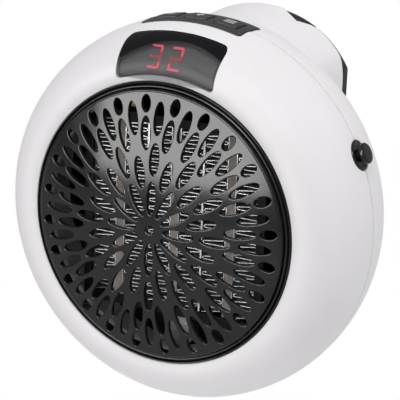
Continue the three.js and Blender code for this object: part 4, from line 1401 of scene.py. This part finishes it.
def addDigits():
    setRadius, depth = bodyPoint(angleAt(display["digitRadius"]), display["maskInset"])
    outRadius, outDepth = bodyPoint(angleAt(display["digitRadius"]))
    tilt = math.atan2(outRadius - setRadius, depth - outDepth)
    halfWide = (display["digitWidth"] - display["stroke"]) / 2
    halfTall = (display["digitHeight"] - display["stroke"]) / 2
    centre = (display["digitWidth"] + display["digitGap"]) / 2
    strips = []
    for digit, side in (("3", -1), ("2", 1)):
        for label in lit[digit]:
            x, z, runsAcross = segments[label]
            loop = segmentLoop(side * centre + x * halfWide, z * halfTall, runsAcross)
            strips.append(drawnOut("segment", loop, -display["raised"], -display["sunk"]))
    piece = joined(strips)
    piece.name = "displayDigits"
    place = Matrix.Translation((display["digitRight"], depth, setRadius))
    shift(piece, place @ Matrix.Rotation(-tilt, 4, "X"))
    dress(settle(piece), "housing", [], "litSegment")


addDisplayLens()
addDigits()
print("display made")


# Key strip, keys and their raised symbols
def rimPlate(name, loop, holes, proud, thickness, rounding, step):
    return formedPlate(
        name, loop, holes, lambda x, y, inset: onRim(x, y, inset - proud), thickness, rounding, step,
    )


def addPanel():
    edge = evened(panelLoop(0), panel["edgeStep"])
    holes = [
        evened(keyLoop(side * keys["pitch"], body["gap"]), panel["edgeStep"]) for side in (-1, 0, 1)
    ]
    piece = rimPlate(
        "buttonPanel", edge, holes,
        panel["proud"], panel["thickness"], panel["rounding"], panel["meshStep"],
    )
    dress(settle(piece), "housing", ["button_panel"], "panelGrey")


def addKey(name, node, rides, side):
    piece = rimPlate(
        name, evened(keyLoop(side * keys["pitch"], 0), panel["edgeStep"]), [],
        keys["proud"], keys["tall"], keys["rounding"], panel["meshStep"],
    )
    dress(settle(piece), rides, [node], "panelGrey")


def barLoop(atX, atY, x, y):
    corners = [(-x / 2, -y / 2), (x / 2, -y / 2), (x / 2, y / 2), (-x / 2, y / 2)]
    corner = min(x, y) * keys["barRoundShare"]
    return rounded([(atX + dx, atY + dy, corner) for dx, dy in corners], 3)


def addSymbol(name, loops, rides):
    strips = [
        rimPlate(
            name, evened(loop, keys["symbolEdgeStep"]), [], keys["proud"] + keys["symbolProud"],
            keys["symbolThickness"], keys["symbolRounding"], keys["symbolMeshStep"],
        )
        for loop in loops
    ]
    piece = joined(strips)
    piece.name = name
    dress(settle(piece), rides, [], "symbolPaint")


def addKeys():
    addKey("keyMinus", "key_minus", "minus_key", -1)
    addKey("keyPlus", "key_plus", "plus_key", 0)
    addKey("keyMode", "key_mode", "mode_key", 1)
    right, middle = keys["pitch"], keys["depth"]
    long, wide = keys["barLong"], keys["barWide"]
    cross = long * keys["crossShare"]
    stub = (long - wide) / 4 + wide / 2
    addSymbol("symbolMinus", [barLoop(-right, middle, cross, wide)], "minus_key")
    addSymbol("symbolPlus", [
        barLoop(0, middle, cross, wide),
        barLoop(0, middle + stub, wide, (cross - wide) / 2),
        barLoop(0, middle - stub, wide, (cross - wide) / 2),
    ], "plus_key")
    addSymbol("symbolBars", [
        barLoop(right, middle + row * keys["barPitch"], long, wide) for row in (-1, 0, 1)
    ], "mode_key")


addPanel()
addKeys()
print("keys made")


# Power switch: dished bezel and mushroom cap
def addSwitch():
    top, floor, soft, fine = switch["bezelTop"], switch["bezelFloor"], switch["soft"], switch["fine"]
    bezel = turned("switchBezel", rounded([
        (switch["neck"] + body["gap"], switch["barrelEnd"], 0),
        (switch["barrel"], switch["barrelEnd"], soft),
        (switch["barrel"], floor, 0),
        (switch["bezel"], floor, 0),
        (switch["bezel"], top, switch["bezelRound"]),
        (switch["bezel"] - switch["dish"], top, fine),
        (switch["cap"], top - switch["dish"], soft),
        (switch["neck"] + body["gap"], top - switch["dish"], fine),
    ]), switch["steps"])
    face = switch["capFace"]
    under = face - switch["capThickness"]
    cap = turned("powerButton", rounded([
        (0, switch["neckEnd"], 0),
        (switch["neck"], switch["neckEnd"], fine),
        (switch["neck"], under, switch["stemRound"]),
        (switch["cap"], under, switch["capUnderRound"]),
        (switch["cap"], face - switch["crownDeep"], switch["capRound"]),
        (switch["cap"] * switch["crownShare"], face, switch["crownRound"]),
        (0, face, 0),
    ], closed=False), switch["steps"], closed=False)
    dress(settle(atSwitch(bezel)), "housing", ["switch_bezel"], "glossBlack")
    dress(settle(atSwitch(cap)), "power_cap", ["power_button"], "glossBlack")
    print("switch made")


addSwitch()


# Heating block: each fin is one strip of foil that runs across, turns in a hairpin and comes back down
foil = {
    "fins": 6,
    "thickness": 0.32,
    "folds": 23,
    "hairpin": 0.55,
    "turnSteps": 6,
    "margin": 0.35,
    "smooth": 40,     # degrees below which faces shade as one
}
bars = {"count": 3, "edge": 0.35, "recess": 0.3, "round": 0.1, "reach": 0.01}


# Box of a node in the heater's own frame, in millimetres
def boxOf(node):
    low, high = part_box(node)
    return (low - heaterPlace) / millimetre, (high - heaterPlace) / millimetre


def foilPath(left, right, bottom, top):
    radius, half = foil["hairpin"], foil["thickness"] / 2
    pitch = (top - bottom - foil["thickness"]) / foil["folds"]
    rightEnd, leftEnd = right - radius - half, left + radius + half
    path = [(left + half, top - half)]
    for fold in range(foil["folds"]):
        z = top - half - fold * pitch
        for turn in span(math.pi / 2, -math.pi / 2, foil["turnSteps"]):
            path.append((rightEnd + radius * math.cos(turn), z - radius + radius * math.sin(turn)))
        low = z - pitch
        if fold == foil["folds"] - 1:
            path.append((leftEnd, low + radius))
            break
        for turn in span(math.pi / 2, 3 * math.pi / 2, foil["turnSteps"]):
            path.append((leftEnd + radius * math.cos(turn), low + radius + radius * math.sin(turn)))
    return path


def addFins():
    margin = foil["margin"]
    for number in range(1, foil["fins"] + 1):
        low, high = boxOf(f"heater_fin_{number}")
        points = [(x, low.y + margin, z) for x, z in foilPath(low.x, high.x, low.z, high.z)]
        edges = [(i, i + 1) for i in range(len(points) - 1)]
        piece = pieceFrom(f"heaterFin{number}", points, [], edges)
        openMesh()
        pull((0, high.y - low.y - 2 * margin, 0))
        closeMesh()
        weld(applyModifier(piece, "SOLIDIFY", thickness=foil["thickness"], offset=0))
        settle(piece, foil["smooth"])
        dress(piece, "housing", [f"heater_fin_{number}"], "foilAluminium")


# A bar is a tan ceramic core between two bright electrode plates, which stand a little proud of it
def addBars():
    for number in range(1, bars["count"] + 1):
        low, high = boxOf(f"ptc_bar_{number}")
        piece = box(f"ptcBar{number}", low, high)
        piece.data.materials.append(finish["foilAluminium"])
        piece.data.materials.append(finish["ptcCeramic"])
        for side, front in ((-1, low.y), (1, high.y)):
            openMesh("DESELECT")
            closeMesh()
            for face in piece.data.polygons:
                face.select = abs(face.center.y - front) < bars["reach"]
            bpy.ops.object.mode_set(mode="EDIT")
            bpy.ops.mesh.inset(thickness=bars["edge"], depth=0)
            pull((0, -side * bars["recess"], 0))
            piece.active_material_index = 1
            bpy.ops.object.material_slot_assign()
            closeMesh()
        applyModifier(piece, "BEVEL", width=bars["round"], segments=2, limit_method="ANGLE")
        dress(settle(piece), "housing", [f"ptc_bar_{number}"])


addFins()
addBars()
print("heating block made")


# Swivelling dial behind the rim, with the plug's round base and two pins
plug = {
    "dial": 45.9,
    "flat": 39.5,
    "front": 91.0,
    "back": 96.0,
    "edge": 0.9,
    "neck": 21.0,
    "neckFront": 84.3,
    "neckRound": 0.2,
    "bore": 18.3,
    "base": 18.0,
    "baseInner": 80.3,
    "face": 103.0,
    "baseEdge": 1.2,
    "groove": 15.4,
    "grooveWide": 0.8,
    "grooveDeep": 0.5,
    "stepRadius": 26.0,
    "stepDeep": 0.6,
    "pin": 2.4,
    "pinRoot": 89.0,
    "pinEnd": 122.0,
    "pinPlace": 9.5,
    "pinGroove": 0.8,          # way from the face to the fine groove round a pin
    "pinGrooveWide": 0.6,
    "pinGrooveDeep": 0.15,
    "pinGrooveRound": 0.1,
    "pinTipShare": 0.9,        # rounding of a pin's tip against its radius
    "soft": 0.3,               # roundings of plain edges
    "fine": 0.15,
    "dialSteps": 180,
    "baseSteps": 128,
    "pinSteps": 48,
    "holeSteps": 32,
}


def onPlug(piece, x=0):
    return shift(piece, Matrix.Translation((x, 0, rearShell["plugRise"])))


def addDial():
    front, back, soft = plug["front"], plug["back"], plug["soft"]
    stepRadius, stepBack = plug["stepRadius"], back - plug["stepDeep"]
    dial = turned("plugDial", rounded([
        (plug["bore"], plug["neckFront"], soft),
        (plug["neck"], plug["neckFront"], soft),
        (plug["neck"], front, plug["neckRound"]),
        (plug["dial"], front, plug["edge"]),
        (plug["dial"], back, plug["edge"]),
        (stepRadius, back, soft),
        (stepRadius - plug["stepDeep"], stepBack, soft),
        (plug["bore"], stepBack, soft),
    ]), plug["dialSteps"])
    flat, far = plug["flat"], plug["dial"] + body["overrun"]
    low, high = front - body["overrun"], back + body["overrun"]
    carve(dial, [
        box("flatTool", (flat, low, -far), (far, high, far)),
        box("flatTool", (-far, low, -far), (-flat, high, far)),
    ])
    dress(settle(onPlug(dial)), "plug", ["plug_dial"], "mattBlack")


def addInsert():
    face, groove, fine = plug["face"], plug["groove"], plug["fine"]
    half, floor = plug["grooveWide"] / 2, face - plug["grooveDeep"]
    insert = turned("plugInsert", rounded([
        (0, plug["baseInner"], 0),
        (plug["base"], plug["baseInner"], plug["soft"]),
        (plug["base"], face, plug["baseEdge"]),
        (groove + half, face, fine),
        (groove + half, floor, fine),
        (groove - half, floor, fine),
        (groove - half, face, fine),
        (0, face, 0),
    ], closed=False), plug["baseSteps"], closed=False)
    holes = []
    low, high = plug["baseInner"] - body["overrun"], face + body["overrun"]
    for side in (-1, 1):
        hole = disc("pinTool", plug["pin"] + body["gap"], low, high, plug["holeSteps"])
        holes.append(shift(hole, Matrix.Translation((side * plug["pinPlace"], 0, 0))))
    carve(insert, holes)
    dress(settle(onPlug(insert)), "plug", ["plug_insert"], "mattBlack")


def addPins():
    radius, root, end, fine = plug["pin"], plug["pinRoot"], plug["pinEnd"], plug["pinGrooveRound"]
    low, half = plug["face"] + plug["pinGroove"], plug["pinGrooveWide"] / 2
    pin = turned("plugPinLeft", rounded([
        (0, root, 0),
        (radius, root, plug["soft"]),
        (radius, low, fine),
        (radius - plug["pinGrooveDeep"], low + half, fine),
        (radius, low + 2 * half, fine),
        (radius, end, radius * plug["pinTipShare"]),
        (0, end, 0),
    ], closed=False), plug["pinSteps"], closed=False)
    twin = copyOf(pin, "plugPinRight")
    for piece, side, node in ((pin, -1, "plug_pin_left"), (twin, 1, "plug_pin_right")):
        settle(onPlug(piece, side * plug["pinPlace"]))
        dress(piece, "plug", [node], "platedPin")


addDial()
addInsert()
addPins()
print("plug made")


# Pan-head screws that hold the two shells
screws = {
    "head": 2.8,
    "headTall": 2.2,
    "shank": 1.45,
    "long": 18.0,
    "crossLong": 3.4,
    "crossWide": 0.75,
    "crossDeep": 1.3,
    "sideShare": 0.45,     # part of the head's height that its side takes
    "crownShare": 0.6,     # part of the head's radius where its crown bends most
    "crownFall": 0.15,
    "crownRound": 1.0,
    "soft": 0.3,           # roundings of plain edges
    "fine": 0.2,
    "steps": 48,
}


def addScrews():
    top = boxOf("housing_screw_1")[1].y
    seat = top - screws["headTall"]
    tip = seat - screws["long"]
    head, shank, soft, fine = screws["head"], screws["shank"], screws["soft"], screws["fine"]
    pattern = turned("screwPattern", rounded([
        (0, tip, 0),
        (shank / 2, tip, fine),
        (shank, tip + shank, soft),
        (shank, seat, 0),
        (head, seat, fine),
        (head, seat + screws["headTall"] * screws["sideShare"], soft),
        (head * screws["crownShare"], top - screws["crownFall"], screws["crownRound"]),
        (0, top, 0),
    ], closed=False), screws["steps"], closed=False)
    long, wide = screws["crossLong"] / 2, screws["crossWide"] / 2
    floor, over = top - screws["crossDeep"], top + body["overrun"]
    across = box("crossTool", (-long, floor, -wide), (long, over, wide))
    upright = box("crossTool", (-wide, floor, -long), (wide, over, long))
    carve(across, [upright], "UNION")
    carve(pattern, [across])
    for number, clock in enumerate(towers["clocks"], 1):
        piece = settle(atScrew(copyOf(pattern, f"housingScrew{number}"), clock))
        dress(piece, "housing", [f"housing_screw_{number}"], "brightSteel")
    bpy.data.objects.remove(pattern)
    print("screws made")


addScrews()


# The CAD's own inner pieces keep their shape and get their finishes
keptFinish = {
    "darkMoulding": ["heater_frame", "display_module", "switch_body", "capacitor", "retaining_ring",
                     "tact_switch_left", "tact_switch_middle", "tact_switch_right"],
    "mattBlack": ["fan_shroud", "fan_impeller", "relay"],
    "circuitBoard": ["display_board", "key_board", "control_board"],
    "foilAluminium": ["fin_separator_1", "fin_separator_2", "fin_end_plate_1", "fin_end_plate_2"],
    "brightSteel": ["motor", "motor_shaft", "thermal_cutout",
                    "frame_screw_1", "frame_screw_2", "frame_screw_3", "frame_screw_4"],
    "contactBrass": ["heater_terminal_left", "heater_terminal_right", "slip_ring_inner", "slip_ring_outer",
                     "contact_leaf_inner", "contact_leaf_outer"],
    "blueCase": ["power_module"],
}
for name, nodes in keptFinish.items():
    for node in nodes:
        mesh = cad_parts[node].data
        mesh.materials.clear()
        mesh.materials.append(finish[name])
print("inner pieces finished")


# Pale floor and studio light
stage = {
    "floorDrop": 0.30,     # the heater hangs on its plug, so the floor lies well below it
    "floorSize": 6.0,
    "floorColour": (0.86, 0.86, 0.86),
    "floorRoughness": 0.9,
    "fill": (0.97, 0.985, 1.0),
    "fillStrength": 0.57,
    "glossStrength": 0.4,  # of the surroundings as gloss shows them
}


# 1 for rays that look straight or through glass at the surroundings
def addSeen(tree):
    path = tree.nodes.new("ShaderNodeLightPath")
    return addMath(tree, "MAXIMUM", path.outputs["Is Camera Ray"], path.outputs["Is Transmission Ray"])


def addFloor():
    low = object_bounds()[0]
    bpy.ops.object.select_all(action="DESELECT")
    bpy.ops.mesh.primitive_plane_add(size=stage["floorSize"], location=(0, 0, low.z - stage["floorDrop"]))
    floor = bpy.context.object
    floor.name = "floor"
    material = bpy.data.materials.new("paleFloor")
    material.use_nodes = True
    tree = material.node_tree
    shader = tree.nodes["Principled BSDF"]
    shader.inputs["Base Color"].default_value = (*stage["floorColour"], 1)
    shader.inputs["Roughness"].default_value = stage["floorRoughness"]
    white = tree.nodes.new("ShaderNodeEmission")
    mix = tree.nodes.new("ShaderNodeMixShader")
    tree.links.new(addSeen(tree), mix.inputs["Fac"])
    tree.links.new(shader.outputs["BSDF"], mix.inputs[1])
    tree.links.new(white.outputs["Emission"], mix.inputs[2])
    tree.links.new(mix.outputs["Shader"], tree.nodes["Material Output"].inputs["Surface"])
    floor.data.materials.append(material)


def addWorld():
    world = bpy.data.worlds.new("studio")
    bpy.context.scene.world = world
    world.use_nodes = True
    tree = world.node_tree
    fill = tree.nodes["Background"]
    fill.inputs["Color"].default_value = (*stage["fill"], 1)
    gloss = tree.nodes.new("ShaderNodeLightPath").outputs["Is Glossy Ray"]
    strength = addRange(tree, gloss, (0, 1), (stage["fillStrength"], stage["glossStrength"]))
    tree.links.new(strength, fill.inputs["Strength"])
    white = tree.nodes.new("ShaderNodeBackground")
    white.inputs["Color"].default_value = (1, 1, 1, 1)
    mix = tree.nodes.new("ShaderNodeMixShader")
    tree.links.new(addSeen(tree), mix.inputs["Fac"])
    tree.links.new(fill.outputs["Background"], mix.inputs[1])
    tree.links.new(white.outputs["Background"], mix.inputs[2])
    tree.links.new(mix.outputs["Shader"], tree.nodes["World Output"].inputs["Surface"])


# Lamps: turn left of the room's middle and height over the horizon, as seen from the heater, in degrees
lamps = [
    {"name": "softboxGloss", "left": 21, "up": 7, "away": 1.5, "wide": 1.12, "tall": 0.75, "power": 40,
     "colour": (1.0, 0.985, 0.975), "gloss": True, "diffuse": False},
    {"name": "stripGloss", "left": -15, "up": 42, "away": 1.5, "wide": 1.1, "tall": 0.4, "power": 26,
     "colour": (1.0, 1.0, 1.0), "gloss": True, "diffuse": False},
    {"name": "softboxLeft", "left": 8, "up": 12, "away": 1.5, "wide": 0.9, "tall": 0.62, "power": 3.2,
     "colour": (1.0, 0.985, 0.975), "gloss": False, "diffuse": True},
    {"name": "softboxTop", "left": -10, "up": 62, "away": 1.4, "wide": 0.8, "tall": 0.5, "power": 6.5,
     "colour": (1.0, 1.0, 1.0), "gloss": False, "diffuse": True},
    {"name": "softboxRight", "left": -120, "up": 40, "away": 1.4, "wide": 0.6, "tall": 0.8, "power": 5.5,
     "colour": (1.0, 1.0, 1.0), "gloss": False, "diffuse": True},
]


def addLamps():
    middle = (cadLow + cadHigh) / 2
    for lamp in lamps:
        data = bpy.data.lights.new(lamp["name"], "AREA")
        data.shape = "RECTANGLE"
        data.size = lamp["wide"]
        data.size_y = lamp["tall"]
        data.energy = lamp["power"]
        data.color = lamp["colour"]
        left, up = math.radians(lamp["left"]), math.radians(lamp["up"])
        towards = Vector((-math.sin(left) * math.cos(up), -math.cos(left) * math.cos(up), math.sin(up)))
        light = bpy.data.objects.new(lamp["name"], data)
        bpy.context.collection.objects.link(light)
        light.visible_glossy = lamp["gloss"]
        light.visible_diffuse = lamp["diffuse"]
        light.matrix_world = Matrix.Translation(middle + towards * lamp["away"]) @ (
            towards.to_track_quat("Z", "Y").to_matrix().to_4x4()
        )


addFloor()
addWorld()
addLamps()
bpy.context.scene.view_settings.view_transform = "Standard"
print("stage and lamps set")
